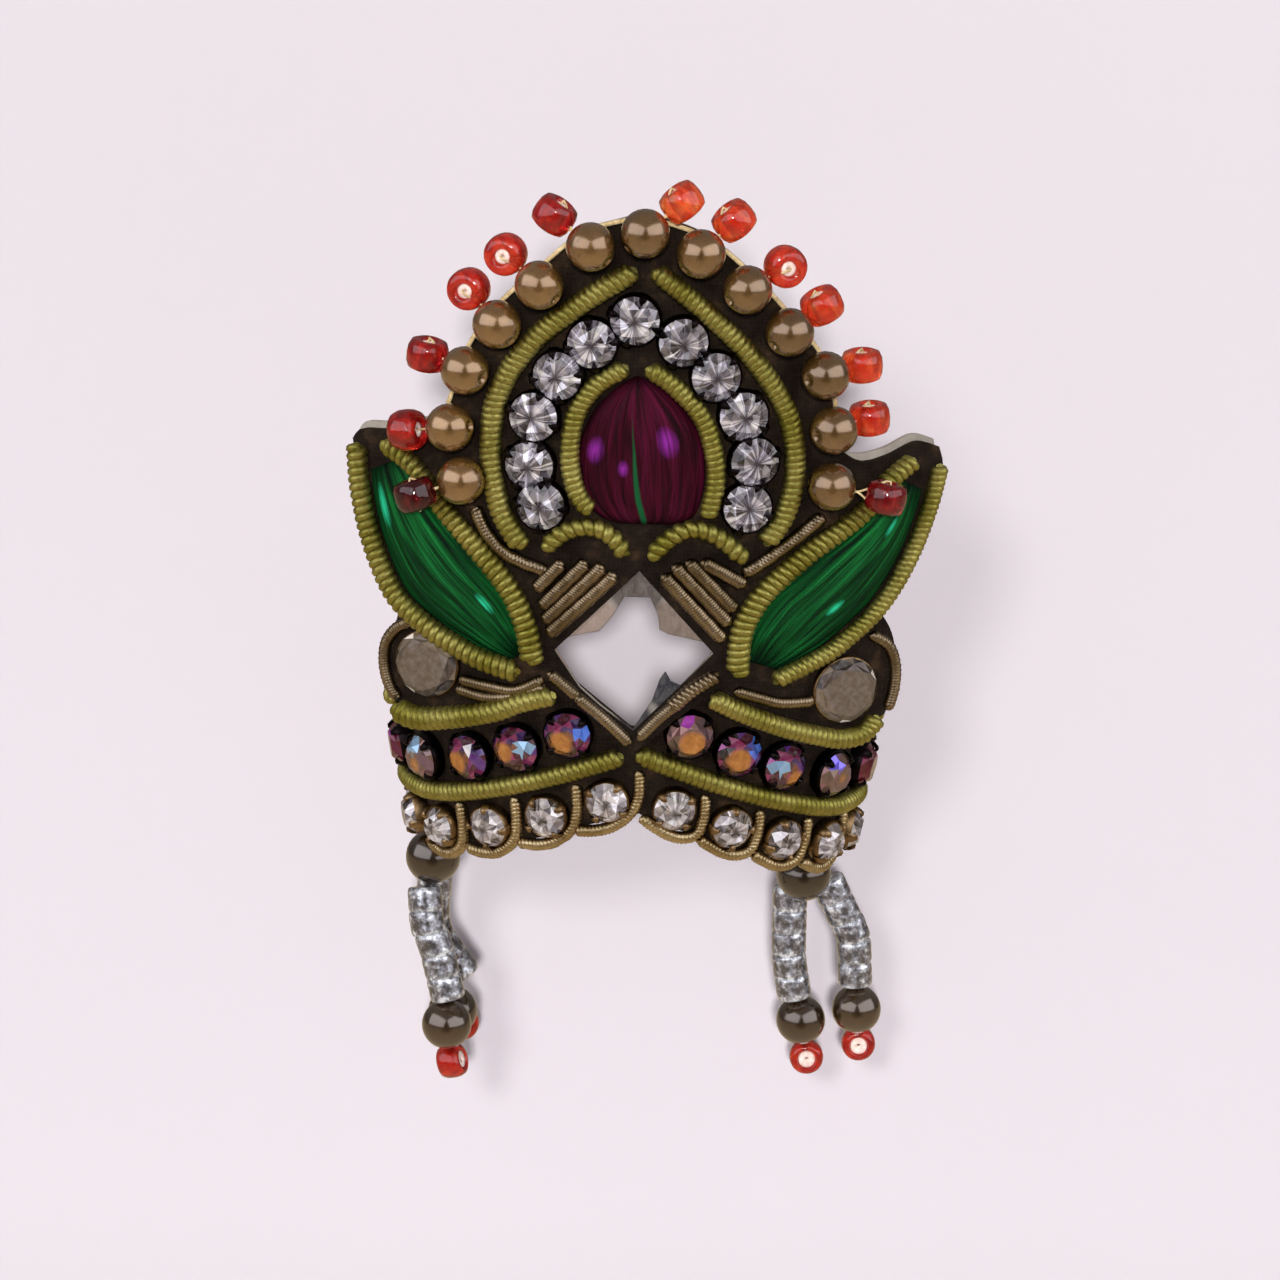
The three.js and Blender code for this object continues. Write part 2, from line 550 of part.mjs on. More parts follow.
// ---- stones ----
function threadedStones(surface, places, radius) {
  const stones = places.map(([u, z]) => cupStone(surface, u, z, radius));
  const threads = places.slice(1).map(([u, z], index) => {
    const [fromU, fromZ] = places[index];
    return straightTube(surface(fromU, fromZ, THREAD_LIFT), surface(u, z, THREAD_LIFT), THREAD, 4);
  });
  return [...stones, ...threads];
}

for (const [place, stones] of Object.entries(ARCH_STONES)) {
  addNode(`arch_stones_${place}`, geometryOf(joined(threadedStones(onPanel, stones, CUP))), CLEAR_STONE);
}

function roundStone([u, z]) {
  const profile = [[0, 0], [1, 0], [1, 0.4], [0.72, 1], [0, 1]];
  const points = profile.map(([out, high]) => new THREE.Vector2(out * ROUND_STONE.radius, high * ROUND_STONE.height));
  const stone = new THREE.LatheGeometry(points, 14).rotateX(Math.PI / 2);
  return stone.applyMatrix4(frameOn(onPanel, u, z, CLEAR));
}
for (const side of ['left', 'right']) {
  addNode(`round_stone_${side}`, roundStone(ROUND_STONES[side]), SMOKE_STONE);
}

const rowPlaces = (row, places) => places.map((s) => [s, rowHeight(row, s)]);

// The tube down the right of a rim stone and round under it, which its cup rests on.
function scallop([s]) {
  const pattern = SCALLOP.map(([along, up]) => [s + along, rowHeight(ROWS.clear, s + along) + up]);
  return tubeOn(onBand, pattern, SCALLOP_RADIUS + CLEAR, SCALLOP_RADIUS, 4, 5);
}

for (const side of ['left', 'right']) {
  const violet = rowPlaces(ROWS.violet, VIOLET_STONES[side]);
  addNode(`violet_stones_${side}`, geometryOf(joined(threadedStones(onBand, violet, VIOLET_CUP))), VIOLET_STONE);
  const clear = rowPlaces(ROWS.clear, CLEAR_STONES[side]);
  const scallops = clear.filter(([s]) => Math.abs(s) < SCALLOP_REACH).map(scallop);
  const stones = threadedStones(onBand, clear, CUP);
  addNode(`rim_stones_${side}`, geometryOf(joined([...stones, ...scallops])), CLEAR_STONE);
}

// ---- picots ----
function picot({ gold, red, lift, hole }) {
  const goldPlace = onPanel(gold[0], gold[1], GOLD_BEAD + PICOT_STAND);
  const redPlace = onPanel(red[0], red[1], lift);
  const out = redPlace.clone().sub(goldPlace).normalize();
  const front = new THREE.Vector3().setFromMatrixColumn(frameOn(onPanel, red[0], red[1], 0), 2);
  const axes = { front, out, along: out.clone().cross(front).normalize() };
  return [
    ball(goldPlace, GOLD_BEAD),
    straightTube(goldPlace, redPlace, THREAD, 4),
    barrel(RED_BEAD, axes[hole], redPlace),
  ];
}
PICOTS.forEach((row, index) => {
  addNode(`picot_${index + 1}`, geometryOf(joined(picot(row))), GOLD);
});

// ---- side drops ----
const DROP_HOLES = { front: new THREE.Vector3(0, -1, 0), side: new THREE.Vector3(0.9, -0.3, 0.3).normalize() };

for (const drop of DROPS) {
  addNode(`drop_ball_${drop.side}`, ball(vector(drop.ball), DROP_BALL, 10, 7), GOLD);
  for (const string of drop.strings) {
    const path = new THREE.CatmullRomCurve3(string.path.map(vector));
    const beads = Array.from({ length: STRING_BEADS }, (_, index) => {
      const along = index / (STRING_BEADS - 1);
      return barrel(SILVER_BEAD, path.getTangentAt(along), path.getPointAt(along));
    });
    const thread = tubeThrough(path.getSpacedPoints(4), THREAD, 4, 4);
    addNode(`bead_string_${drop.side}_${string.name}`, geometryOf(joined([...beads, thread])), SILVER_GLASS);
    const tail = tubeThrough([string.neck, string.end, string.red].filter(Boolean).map(vector), THREAD, 4, 2);
    const stopper = barrel(DROP_RED, DROP_HOLES[string.hole], vector(string.red));
    const tip = geometryOf(joined([ball(vector(string.end), END_BALL, 10, 7), tail, stopper]));
    addNode(`drop_tip_${drop.side}_${string.name}`, tip, GOLD);
  }
}

export default crown;
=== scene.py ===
"""Looks of a small embroidered crown for a deity figure, around its CAD frame.

Everything is laid out in millimetres, on the same two surfaces as the part: the oval band and
the curved front panel. A length in millimetres becomes metres only when a mesh is made.
"""

import math
import random

import bpy
import bmesh
from mathutils import Matrix, Vector
from mathutils.geometry import delaunay_2d_cdt


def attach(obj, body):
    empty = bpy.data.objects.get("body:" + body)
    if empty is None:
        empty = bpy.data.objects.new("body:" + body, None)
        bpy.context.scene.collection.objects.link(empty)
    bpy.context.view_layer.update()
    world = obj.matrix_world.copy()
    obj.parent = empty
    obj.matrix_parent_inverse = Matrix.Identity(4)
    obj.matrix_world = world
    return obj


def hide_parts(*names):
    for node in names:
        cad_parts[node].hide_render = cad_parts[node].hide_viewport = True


MM = 0.001
TAU = math.tau
SIDES = ("left", "right")

# ---------------------------------------------------------------- the part's own sizes
BOARD = 1.2
LINING = 0.5
CLEAR = 0.2
RIM_HALF_WIDTH = 14.5
OVAL = 0.7
FLARE = 0.18
PANEL_RADIUS = 36
PANEL_FRONT = 13.1
PANEL_FOOT = 12
PANEL_LEAN = 0.08
RISE = 4.7
RISE_REACH = 16.2
RISE_POWER = 1.4
SKEW = 0.3
BACK_HEIGHT = 5.2
SIDE_END = 27
ARC_HEIGHT = 6

# Beads, each with the radius of its bore.
GOLD_BEAD = 1.64
GOLD_BORE = 0.3
DROP_BALL = 1.98
END_BALL = 1.8
BALL_BORE = 0.35
RED_BEAD = {"radius": 1.42, "length": 2.1, "bore": 0.5}
DROP_RED = {"radius": 1.25, "length": 1.8, "bore": 0.62}
SILVER_BEAD = {"radius": 1.27, "length": 1.62, "bore": 0.4}
PICOT_STAND = 0.4
ARCH_CUP = 1.74
RIM_CUP = 1.5
VIOLET_CUP = 1.7
ROUND_STONE = {"radius": 2.4, "height": 1.3}
PICOT_THREAD = 0.08
EDGE_WIRE = 0.17
DROP_THREAD = 0.24

# How finely lines and boards are divided.
CURVE_STEPS = 16
LINE_SPACING = 0.3
OUTLINE_SPACING = 0.45
THREAD_SPACING = 0.4
BOARD_GRID = 0.9
BAND_COLUMNS = 200
BAND_ROWS = 10
WELD = 1e-7

ROWS = {
    "cloth": {"base": 0, "gain": 1},
    "clear": {"base": 1.75, "gain": 1},
    "lower": {"base": 4.3, "gain": 1.09},
    "violet": {"base": 6.8, "gain": 1.2},
    "upper": {"base": 9.6, "gain": 1.3},
    "top": {"base": 10.9, "gain": 1.3},
}

# ---------------------------------------------------------------- the panel's pattern
OUTLINE = {
    "right": {
        "arch": [(3.9, 45.8), (7.2, 43.3), (10.1, 40.3), (12.7, 37), (13.6, 33.2), (13.8, 30.9)],
        "leaf_top": [(15.6, 29.9), (17.7, 30.2), (20, 31), (21.9, 30.5)],
        "leaf_side": [(22.3, 29), (21.6, 26.5), (20.3, 23.6), (18.9, 21.2), (17.6, 19)],
        "lobe": [(18.5, 17.6), (19, 15.6), (19, 13.4), (18.2, 11.6)],
        "foot": [(16.3, 10.8), (13, 11.3), (9.5, 12.5), (7, 13.8), (5.9, 14.4)],
    },
    "left": {
        "arch": [
            (-3.9, 46), (-7.3, 43.2), (-10.3, 40.3), (-12.4, 37), (-13.4, 33.8), (-14.3, 32.4),
        ],
        "leaf_top": [(-16.2, 31.7), (-18.4, 31.2), (-20.3, 31), (-21, 30.3)],
        "leaf_side": [(-20.8, 28.6), (-20.5, 26.6), (-19.9, 24.2), (-18.5, 21.9), (-17, 19.2)],
        "lobe": [(-17.3, 17.8), (-18.1, 16), (-18.1, 14), (-17.5, 12.2)],
        "foot": [(-16.6, 11.2), (-13.4, 11.7), (-9.5, 12.8), (-7, 13.9), (-5.9, 14.5)],
    },
}
APEX = (0, 47.1)
VEE = (0, 9.5)
DIAMOND = [(-5.7, 16.6), (-3.9, 14), (-2.5, 12.8), (-0.1, 11), (5.4, 16.6), (0.1, 22.5)]
LINING_HOLE = [
    (-5.7, 16.6), (-3.9, 14), (-2.5, 12.8), (-0.1, 11), (1.2, 13.1), (1.7, 14.6), (2.1, 15.2),
    (2.5, 14.5), (3.2, 14.2), (5.4, 16.6), (5.1, 17.2), (4.5, 17.4), (2.2, 17.9), (1.6, 18.2),
    (1.5, 19.2), (0.9, 20.5), (-0.9, 20.5), (-1.7, 19.1), (-2.6, 18), (-4, 17.7), (-5, 17.4),
]
LINING_STAND = 0.45

# Coiled wire on the panel: for each side its outer radius at both ends, its pitch and its line.
PANEL_COILS = {
    "outer_arch_coil": {
        "left": {
            "radius": (0.82, 0.8), "pitch": 0.47,
            "line": [
                (-0.8, 43.3), (-4.3, 40.9), (-7.5, 38), (-9.5, 34.5), (-9.95, 30.5), (-9.3, 26.8),
                (-7.8, 24.2),
            ],
        },
        "right": {
            "radius": (0.74, 0.78), "pitch": 0.46,
            "line": [
                (0.8, 43.3), (4.2, 40.5), (7.5, 37.1), (9.75, 33.4), (10.3, 29.5), (9.7, 26.7),
                (8.5, 24.8),
            ],
        },
    },
    "inner_arch_coil": {
        "left": {
            "radius": (0.7, 0.7), "pitch": 0.45,
            "line": [
                (-1.2, 36.7), (-3, 35.5), (-4.3, 33.4), (-4.65, 30.6), (-4.2, 28.2), (-3.3, 26.9),
            ],
        },
        "right": {
            "radius": (0.7, 0.7), "pitch": 0.45,
            "line": [(0.5, 36.7), (2.2, 35.5), (4.1, 33.2), (4.95, 30.2), (4.9, 28.2), (4.5, 26.7)],
        },
    },
    "arch_foot_coil": {
        "left": {
            "radius": (0.7, 0.66), "pitch": 0.68,
            "line": [(-6.1, 24.2), (-4.9, 25.3), (-3.2, 25.7), (-1.8, 25.1), (-0.9, 23.9)],
        },
        "right": {
            "radius": (0.66, 0.7), "pitch": 0.68,
            "line": [(0.9, 23.8), (1.8, 24.8), (3, 25.6), (4.3, 25.6), (5.9, 24.7), (6.9, 23.6)],
        },
    },
    "leaf_outer_coil": {
        "left": {
            "radius": (0.76, 0.8), "pitch": 0.54,
            "line": [
                (-19.9, 30), (-19.6, 27), (-18.6, 23.3), (-16.8, 19.8), (-14.3, 17.8),
                (-12.3, 16.7), (-10.5, 15.9), (-8, 15.2),
            ],
        },
        "right": {
            "radius": (0.64, 0.66), "pitch": 0.42,
            "line": [
                (21.3, 29.2), (20.5, 26.3), (19, 22.8), (16.9, 19.7), (14, 17.2), (12.3, 16.2),
                (9.5, 14.9),
            ],
        },
    },
    "leaf_inner_coil": {
        "left": {
            "radius": (0.72, 0.86), "pitch": 0.53,
            "line": [
                (-17.7, 30.4), (-15.5, 29.1), (-13.3, 26.4), (-10.8, 23.7), (-8.6, 21.1),
                (-7.4, 18.5), (-6.9, 16),
            ],
        },
        "right": {
            "radius": (0.72, 0.86), "pitch": 0.5,
            "line": [
                (19, 29.9), (17, 28.5), (15.6, 26.8), (13.6, 25.3), (11.5, 23.9), (9.5, 22.2),
                (8.4, 21.1), (7.4, 19.5), (6.9, 17.9), (6.8, 15.5),
            ],
        },
    },
    "foot_coil": {
        "left": {
            "radius": (0.92, 0.72), "pitch": 0.46,
            "line": [
                (-16.5, 11.8), (-16, 11.4), (-14.8, 11.2), (-12.6, 11.5), (-9.6, 12.2), (-7.7, 13),
                (-5.6, 13.6),
            ],
        },
        "right": {
            "radius": (0.74, 0.72), "pitch": 0.4,
            "line": [
                (16.9, 11.6), (15.9, 10.6), (14.2, 10.4), (12.8, 10.7), (11.3, 11.1), (9.5, 11.7),
                (7.1, 12.7), (5.2, 13.7),
            ],
        },
    },
}

# Fine purl on the panel: its outer radius, its pitch and its lines on each side.
FINE_TUBES = {
    "tube_fan": {
        "radius": 0.56, "pitch": 0.2,
        "left": [
            [(-6.7, 21.2), (-5.1, 23)],
            [(-6.3, 20), (-3.5, 23.1)],
            [(-6.1, 19), (-2.4, 22.9)],
            [(-5.8, 18.1), (-1.6, 22.3)],
        ],
        "right": [
            [(4.4, 23.3), (5.5, 22.7), (7, 21.8)],
            [(3.4, 23.3), (6.4, 20.1)],
            [(2.5, 23), (6.1, 19.1)],
            [(1.8, 22.3), (5.7, 18)],
        ],
    },
    "vee_tube": {
        "radius": 0.46, "pitch": 0.2,
        "left": [
            [(-11.9, 14.2), (-9.8, 13.9), (-8.1, 13.8), (-6.4, 14.6)],
            [(-12.1, 13.5), (-10.1, 13.1), (-7.9, 13.4), (-6.3, 14.1)],
            [(-5.7, 15.1), (-4.0, 13.7)],
            [(-3.8, 13.5), (-2.2, 12.2), (-0.4, 10.5)],
        ],
        "right": [
            [(0.4, 10.9), (1.6, 12.2), (2.6, 13.1)],
            [(6.9, 14.1), (8.5, 13.6), (9.9, 13.2), (12.1, 13.2)],
        ],
    },
    "side_tube": {
        "radius": 0.54, "pitch": 0.26,
        "left": [
            [(-11, 26.4), (-10.4, 25.1), (-9.3, 23.8), (-8.1, 23.1), (-6.3, 22.5)],
        ],
        "right": [
            [(12.3, 26.3), (10.2, 24.6), (8.2, 23.2), (7.2, 22.6)],
        ],
    },
    "stone_loop": {
        "radius": 0.45, "pitch": 0.2,
        "left": [
            [
                (-15.9, 17.9), (-16.9, 17.3), (-17.7, 16.1), (-17.8, 14.6), (-17.4, 13.2),
                (-16.8, 12.4),
            ],
        ],
        "right": [
            [(16.6, 17.6), (17.8, 16.8), (18.4, 15.4), (18.4, 13.7), (18, 12.3)],
        ],
    },
}

VEE_COLLAR = {"radii": (0.58, 0.56), "pitch": 0.36, "line": [(2.4, 13), (3.7, 14.2), (5.4, 15.3)]}
ROUND_STONES = {"left": (-14.5, 15.1), "right": (14.6, 13.9)}
ROUND_TURNS = {"left": 0.0, "right": 2.6}
ARCH_STONES = [
    (-0.5, 40.1),
    (-3.3, 38.4), (-5.5, 36.1), (-7.05, 33.2), (-7.3, 29.9), (-6.5, 27.1),
    (2.6, 38.7), (4.8, 36.3), (6.7, 33.6), (7.5, 30.4), (7.15, 27.2),
]
# A leaf's pad lies between its two coils, a little in from each: where along them it starts
# and ends.
LEAF_PAD = {"edge": 0.6, "height": 1.05, "top": 0.09, "foot": 0.95}
ARCH_PAD = [
    {"z": 36.1, "left": -0.5, "right": -0.1},
    {"z": 35.2, "left": -1.8, "right": 1.4},
    {"z": 33.6, "left": -3.2, "right": 3.0},
    {"z": 31.6, "left": -4.0, "right": 4.1},
    {"z": 29.4, "left": -4.15, "right": 4.35},
    {"z": 27.6, "left": -3.7, "right": 4.1},
    {"z": 26.4, "left": -2.7, "right": 3.6},
    {"z": 25.9, "left": -1.4, "right": 2.4},
]
ARCH_PAD_HEIGHT = 1.1

# A picot's tone sets its red glass from dark wine to orange; the first picot's very low tone is
# painted shade.
PICOTS = [
    {"gold": (-11.6, 28.6), "red": (-14.2, 27.6), "lift": 3.35, "hole": "along", "tone": 0.02},
    {"gold": (-12.4, 32.2), "red": (-15.5, 31.7), "lift": 1.75, "hole": "out", "tone": 0.45},
    {"gold": (-11.4, 36.2), "red": (-14.5, 36.9), "lift": 0.9, "hole": "along", "tone": 0.4},
    {"gold": (-9.3, 39.5), "red": (-11.6, 41.6), "lift": 0.9, "hole": "front", "tone": 0.55},
    {"gold": (-6.6, 42.3), "red": (-9.1, 44.1), "lift": 0.9, "hole": "front", "tone": 0.6},
    {"gold": (-3.4, 45), "red": (-5.9, 46.9), "lift": 0.9, "hole": "along", "tone": 0.45},
    {"gold": (0, 46), "red": (2.3, 48), "lift": 0.9, "hole": "along", "tone": 0.85},
    {"gold": (3.5, 44.7), "red": (5.7, 46.8), "lift": 0.9, "hole": "along", "tone": 0.75},
    {"gold": (6.5, 42.3), "red": (9.2, 43.7), "lift": 0.9, "hole": "front", "tone": 0.65},
    {"gold": (9.3, 39.4), "red": (11.8, 41), "lift": 0.9, "hole": "along", "tone": 0.75},
    {"gold": (11.8, 36.4), "red": (14.8, 36.8), "lift": 0.9, "hole": "along", "tone": 0.75},
    {"gold": (12.5, 32.6), "red": (15.5, 33.1), "lift": 0.9, "hole": "along", "tone": 0.7},
    {"gold": (12.5, 28.7), "red": (15.7, 28), "lift": 3.35, "hole": "along", "tone": 0.25},
]

CLEAR_STONES = [-23.4, -19.1, -14.9, -10.3, -5.9, -1.7, 2.8, 6.9, 11.1, 15.6, 19.8, 24.1]
VIOLET_STONES = {
    "left": [-4.2, -7.7, -11.3, -15.7, -19.8, -23.8], "right": [3.5, 6.8, 10.2, 14.6, 18.9, 23.1],
}

# Each violet stone from the front centre: where its amber disc and its bright patch, a painted
# highlight, lie, each with a radius, as shares of the stone's; the patch's tone; and the tone of
# the rest.
VIOLET_LIGHTS = {
    "left": [
        {"disc": (-0.3, -0.2, 0.62), "patch": (0.66, 0.1, 0.32), "patch_tone": 0.2, "tone": 0.2},
        {"disc": (-0.45, 0.0, 0.55), "patch": (0.5, 0.1, 0.33), "patch_tone": 0.5, "tone": 0.3},
        {"disc": (-0.3, -0.3, 0.6), "patch": (0.3, 0.45, 0.22), "patch_tone": 0.95, "tone": 0.1},
        {"disc": (0.1, -0.2, 0.4), "patch": (-0.1, 0.62, 0.4), "patch_tone": 0.5, "tone": 0.5},
        {"disc": (0.0, 0.0, 0.1), "patch": (0.1, 0.5, 0.2), "patch_tone": 0.8, "tone": 0.8},
        {"disc": (0.0, 0.0, 0.1), "patch": (0.1, 0.5, 0.2), "patch_tone": 0.8, "tone": 0.9},
    ],
    "right": [
        {"disc": (0.0, -0.15, 0.66), "patch": (0.1, 0.8, 0.24), "patch_tone": 0.8, "tone": 0.5},
        {"disc": (-0.1, -0.15, 0.62), "patch": (0.55, 0.5, 0.34), "patch_tone": 0.25, "tone": 0.3},
        {"disc": (0.4, -0.4, 0.5), "patch": (-0.45, 0.1, 0.36), "patch_tone": 0.5, "tone": 0.1},
        {"disc": (0.0, 0.0, 0.25), "patch": (-0.3, 0.6, 0.3), "patch_tone": 0.65, "tone": 0.55},
        {"disc": (0.0, 0.0, 0.1), "patch": (0.1, 0.5, 0.2), "patch_tone": 0.8, "tone": 0.8},
        {"disc": (0.0, 0.0, 0.1), "patch": (0.1, 0.5, 0.2), "patch_tone": 0.8, "tone": 0.9},
    ],
}

# A scallop of purl from one rim stone round the next, from that stone's place.
SCALLOP = {
    "radius": 0.47, "pitch": 0.28, "reach": 16,
    "line": [(2.1, 1.5), (2.1, -0.1), (1.7, -1.4), (0.6, -2.05), (-0.6, -2.1), (-2.1, -1.7)],
}

DROPS = [
    {
        "side": "left", "ball": (-14.3, -0.9, -1.6),
        "strings": [
            {
                "name": "front", "hole": "side",
                "end": (-13.1, -2.6, -13.7), "red": (-12.7, -1.8, -16.75),
                "path": [
                    (-14.8, -1.5, -4.65), (-14.6, -1.9, -6.4), (-13.95, -2.2, -8.1),
                    (-13.2, -2.5, -10.95),
                ],
            },
            {
                "name": "back", "hole": "front",
                "end": (-12.85, 1.35, -13.95), "red": (-12.25, 4.2, -15.8),
                "path": [
                    (-14.3, 1.2, -4.4), (-14.4, 1.2, -6.4), (-14, 1.2, -8.2), (-12.5, 1.3, -10.5),
                ],
            },
        ],
    },
    {
        "side": "right", "ball": (12.45, -0.7, -2.35),
        "strings": [
            {
                "name": "inner", "hole": "front",
                "end": (12.65, 1.3, -14.05), "red": (13.2, 2.5, -17.25),
                "path": [(11.6, 1.3, -4.75), (11.6, 1.2, -7), (11.65, 1.1, -9.2), (12, 1.1, -11.4)],
            },
            {
                "name": "outer", "hole": "front",
                "end": (16.7, 1.4, -13.15), "red": (17, 2.7, -16.2),
                "path": [
                    (14.6, 1.4, -4.1), (15.35, 1.4, -5.65), (16.25, 1.4, -7.6), (16.5, 1.4, -10.4),
                ],
            },
        ],
    },
]
DROP_HOLES = {"front": Vector((0, -1, 0)), "side": Vector((0.9, -0.3, 0.3)).normalized()}
BALL_HOLE = Vector((0.1, 0.1, 1))
DROP_RED_TONE = 0.55
STRING_BEADS = 5
# The silver beads are drawn a little longer than their share of the string, so that they touch.
SILVER_OVERLAP = 1.12

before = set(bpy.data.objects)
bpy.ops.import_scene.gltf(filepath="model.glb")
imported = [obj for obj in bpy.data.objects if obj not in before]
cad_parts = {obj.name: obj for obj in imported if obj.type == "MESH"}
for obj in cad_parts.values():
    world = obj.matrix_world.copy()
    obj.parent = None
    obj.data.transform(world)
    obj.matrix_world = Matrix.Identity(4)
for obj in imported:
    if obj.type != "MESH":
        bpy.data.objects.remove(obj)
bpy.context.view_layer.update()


# ---------------------------------------------------------------- the two surfaces
def half_width(z):
    return RIM_HALF_WIDTH + FLARE * z


def band_arc():
    """Lengths along the band from its front centre, for each degree of the oval's turn."""
    lengths = [0.0]
    width = half_width(ARC_HEIGHT)
    for degree in range(1, 181):
        turn = math.radians(degree - 0.5)
        speed = math.hypot(width * math.cos(turn), OVAL * width * math.sin(turn))
        lengths.append(lengths[-1] + math.radians(speed))
    return lengths


BAND_ARC = band_arc()
BAND_HALF_LENGTH = BAND_ARC[180]


def turn_at(s):
    length = min(abs(s), BAND_HALF_LENGTH - 0.001)
    degree = next(i for i, reach in enumerate(BAND_ARC) if reach > length) - 1
    part = (length - BAND_ARC[degree]) / (BAND_ARC[degree + 1] - BAND_ARC[degree])
    return math.copysign(math.radians(degree + part), s)


def length_at(turn):
    """The length along the band from its front centre to a turn of the oval."""
    degrees = abs(math.degrees(turn))
    whole = min(int(degrees), 179)
    length = BAND_ARC[whole] + (BAND_ARC[whole + 1] - BAND_ARC[whole]) * (degrees - whole)
    return math.copysign(length, turn)


def on_oval(turn, z, lift):
    a = half_width(z)
    b = OVAL * a
    out = Vector((b * math.sin(turn), -a * math.cos(turn))).normalized()
    return Vector((a * math.sin(turn) + lift * out.x, -b * math.cos(turn) + lift * out.y, z))


def on_band(s, z, lift):
    return on_oval(turn_at(s), z, lift)


def on_panel(u, z, lift):
    turn = u / PANEL_RADIUS
    front = -(PANEL_FRONT + PANEL_LEAN * (z - PANEL_FOOT))
    reach = PANEL_RADIUS + lift
    return Vector((reach * math.sin(turn), front + PANEL_RADIUS - reach * math.cos(turn), z))


def rise(s):
    return RISE * max(0, 1 - abs(s) / RISE_REACH) ** RISE_POWER


def row_height(row, s):
    return ROWS[row]["base"] + ROWS[row]["gain"] * rise(s) - SKEW * math.sin(turn_at(s))


def frame_on(surface, u, z, lift):
    """The frame at a place on a surface: x along it, y up it, z straight out of it."""
    step = 0.01
    point = surface(u, z, lift)
    along = (surface(u + step, z, lift) - point).normalized()
    out = along.cross((surface(u, z + step, lift) - point).normalized()).normalized()
    return basis(along, out.cross(along), out, point)


def basis(x, y, z, place):
    matrix = Matrix((x, y, z)).transposed().to_4x4()
    matrix.translation = place
    return matrix


def facing(axis, place, spin):
    """A frame at place whose z lies along axis."""
    turn = axis.normalized().to_track_quat("Z", "Y").to_matrix().to_4x4()
    matrix = turn @ Matrix.Rotation(spin, 4, "Z")
    matrix.translation = place
    return matrix


def smooth_line(pattern, spacing=LINE_SPACING):
    """Points about evenly spaced on the smooth curve through a pattern's points."""
    points = [Vector(p) for p in pattern]
    dense = [points[0]]
    for i in range(len(points) - 1):
        before = points[max(i - 1, 0)]
        after = points[min(i + 2, len(points) - 1)]
        for step in range(1, CURVE_STEPS + 1):
            dense.append(catmull(before, points[i], points[i + 1], after, step / CURVE_STEPS))
    lengths = [0.0]
    for a, b in zip(dense, dense[1:]):
        lengths.append(lengths[-1] + (b - a).length)
    count = max(2, round(lengths[-1] / spacing))
    line, at = [], 0
    for k in range(count + 1):
        want = lengths[-1] * k / count
        while at < len(lengths) - 2 and lengths[at + 1] < want:
            at += 1
        part = (want - lengths[at]) / max(lengths[at + 1] - lengths[at], 1e-9)
        line.append(dense[at].lerp(dense[at + 1], min(part, 1)))
    return line


def catmull(p0, p1, p2, p3, t):
    """The point at t between p1 and p2 of a Catmull-Rom curve."""
    v0, v1 = (p2 - p0) / 2, (p3 - p1) / 2
    cubic = 2 * p1 - 2 * p2 + v0 + v1
    square = -3 * p1 + 3 * p2 - 2 * v0 - v1
    return cubic * t**3 + square * t**2 + v0 * t + p1


def laid(surface, pattern, lift):
    return [surface(p.x, p.y, lift) for p in smooth_line(pattern)]


def band_line(row, start, end, lift):
    count = round(abs(end - start) / LINE_SPACING)
    places = [start + (end - start) * k / count for k in range(count + 1)]
    return [on_band(s, row_height(row, s), lift) for s in places]


# ---------------------------------------------------------------- making meshes
def linked(name, data):
    """A new object of the scene from a mesh, a curve, a light or a camera."""
    thing = bpy.data.objects.new(name, data)
    bpy.context.scene.collection.objects.link(thing)
    return thing


def plain_mesh(source):
    """The mesh that an object with its modifiers makes. The object goes."""
    depsgraph = bpy.context.evaluated_depsgraph_get()
    mesh = bpy.data.meshes.new_from_object(source.evaluated_get(depsgraph))
    source.modifiers.clear()
    bpy.data.objects.remove(source)
    return mesh


def bare_mesh(name, points, edges=(), faces=()):
    """A mesh from points in millimetres."""
    mesh = bpy.data.meshes.new(name)
    mesh.from_pydata([p * MM for p in points], edges, faces)
    return mesh


def shade(mesh, smooth):
    mesh.polygons.foreach_set("use_smooth", [smooth] * len(mesh.polygons))


def mesh_of(name, points, faces, smooth=True):
    mesh = bare_mesh(name, points, faces=faces)
    mesh.validate()
    shade(mesh, smooth)
    return mesh


def note(mesh, name, domain, values):
    """Keeps a number or a vector for each point or face of a mesh."""
    if isinstance(values[0], tuple):
        layer = mesh.attributes.new(name, "FLOAT_VECTOR", domain)
        layer.data.foreach_set("vector", [part for value in values for part in value])
    else:
        layer = mesh.attributes.new(name, "FLOAT", domain)
        layer.data.foreach_set("value", values)


def lathe(name, profile, sides, closed=False):
    """A turned mesh about z from (radius, height) pairs, bottom to top on the outside.
    A profile that isn't closed starts and ends on the axis."""
    points, rings = [], []
    for radius, height in profile:
        turns = [TAU * k / sides for k in range(sides if radius else 1)]
        rings.append(list(range(len(points), len(points) + len(turns))))
        points += [Vector((radius * math.cos(t), radius * math.sin(t), height)) for t in turns]
    faces = []
    for low, high in list(zip(rings, rings[1:])) + ([(rings[-1], rings[0])] if closed else []):
        for k in range(sides):
            after = (k + 1) % sides
            if len(low) == 1:
                faces.append((low[0], high[after], high[k]))
            elif len(high) == 1:
                faces.append((low[k], low[after], high[0]))
            else:
                faces.append((low[k], low[after], high[after], high[k]))
    return mesh_of(name, points, faces)


def tidy(mesh, angle):
    """Welds doubles, turns faces outwards and keeps edges sharper than an angle crisp."""
    work = bmesh.new()
    work.from_mesh(mesh)
    bmesh.ops.remove_doubles(work, verts=work.verts, dist=WELD)
    bmesh.ops.recalc_face_normals(work, faces=work.faces)
    work.to_mesh(mesh)
    work.free()
    mesh.set_sharp_from_angle(angle=math.radians(angle))
    return mesh


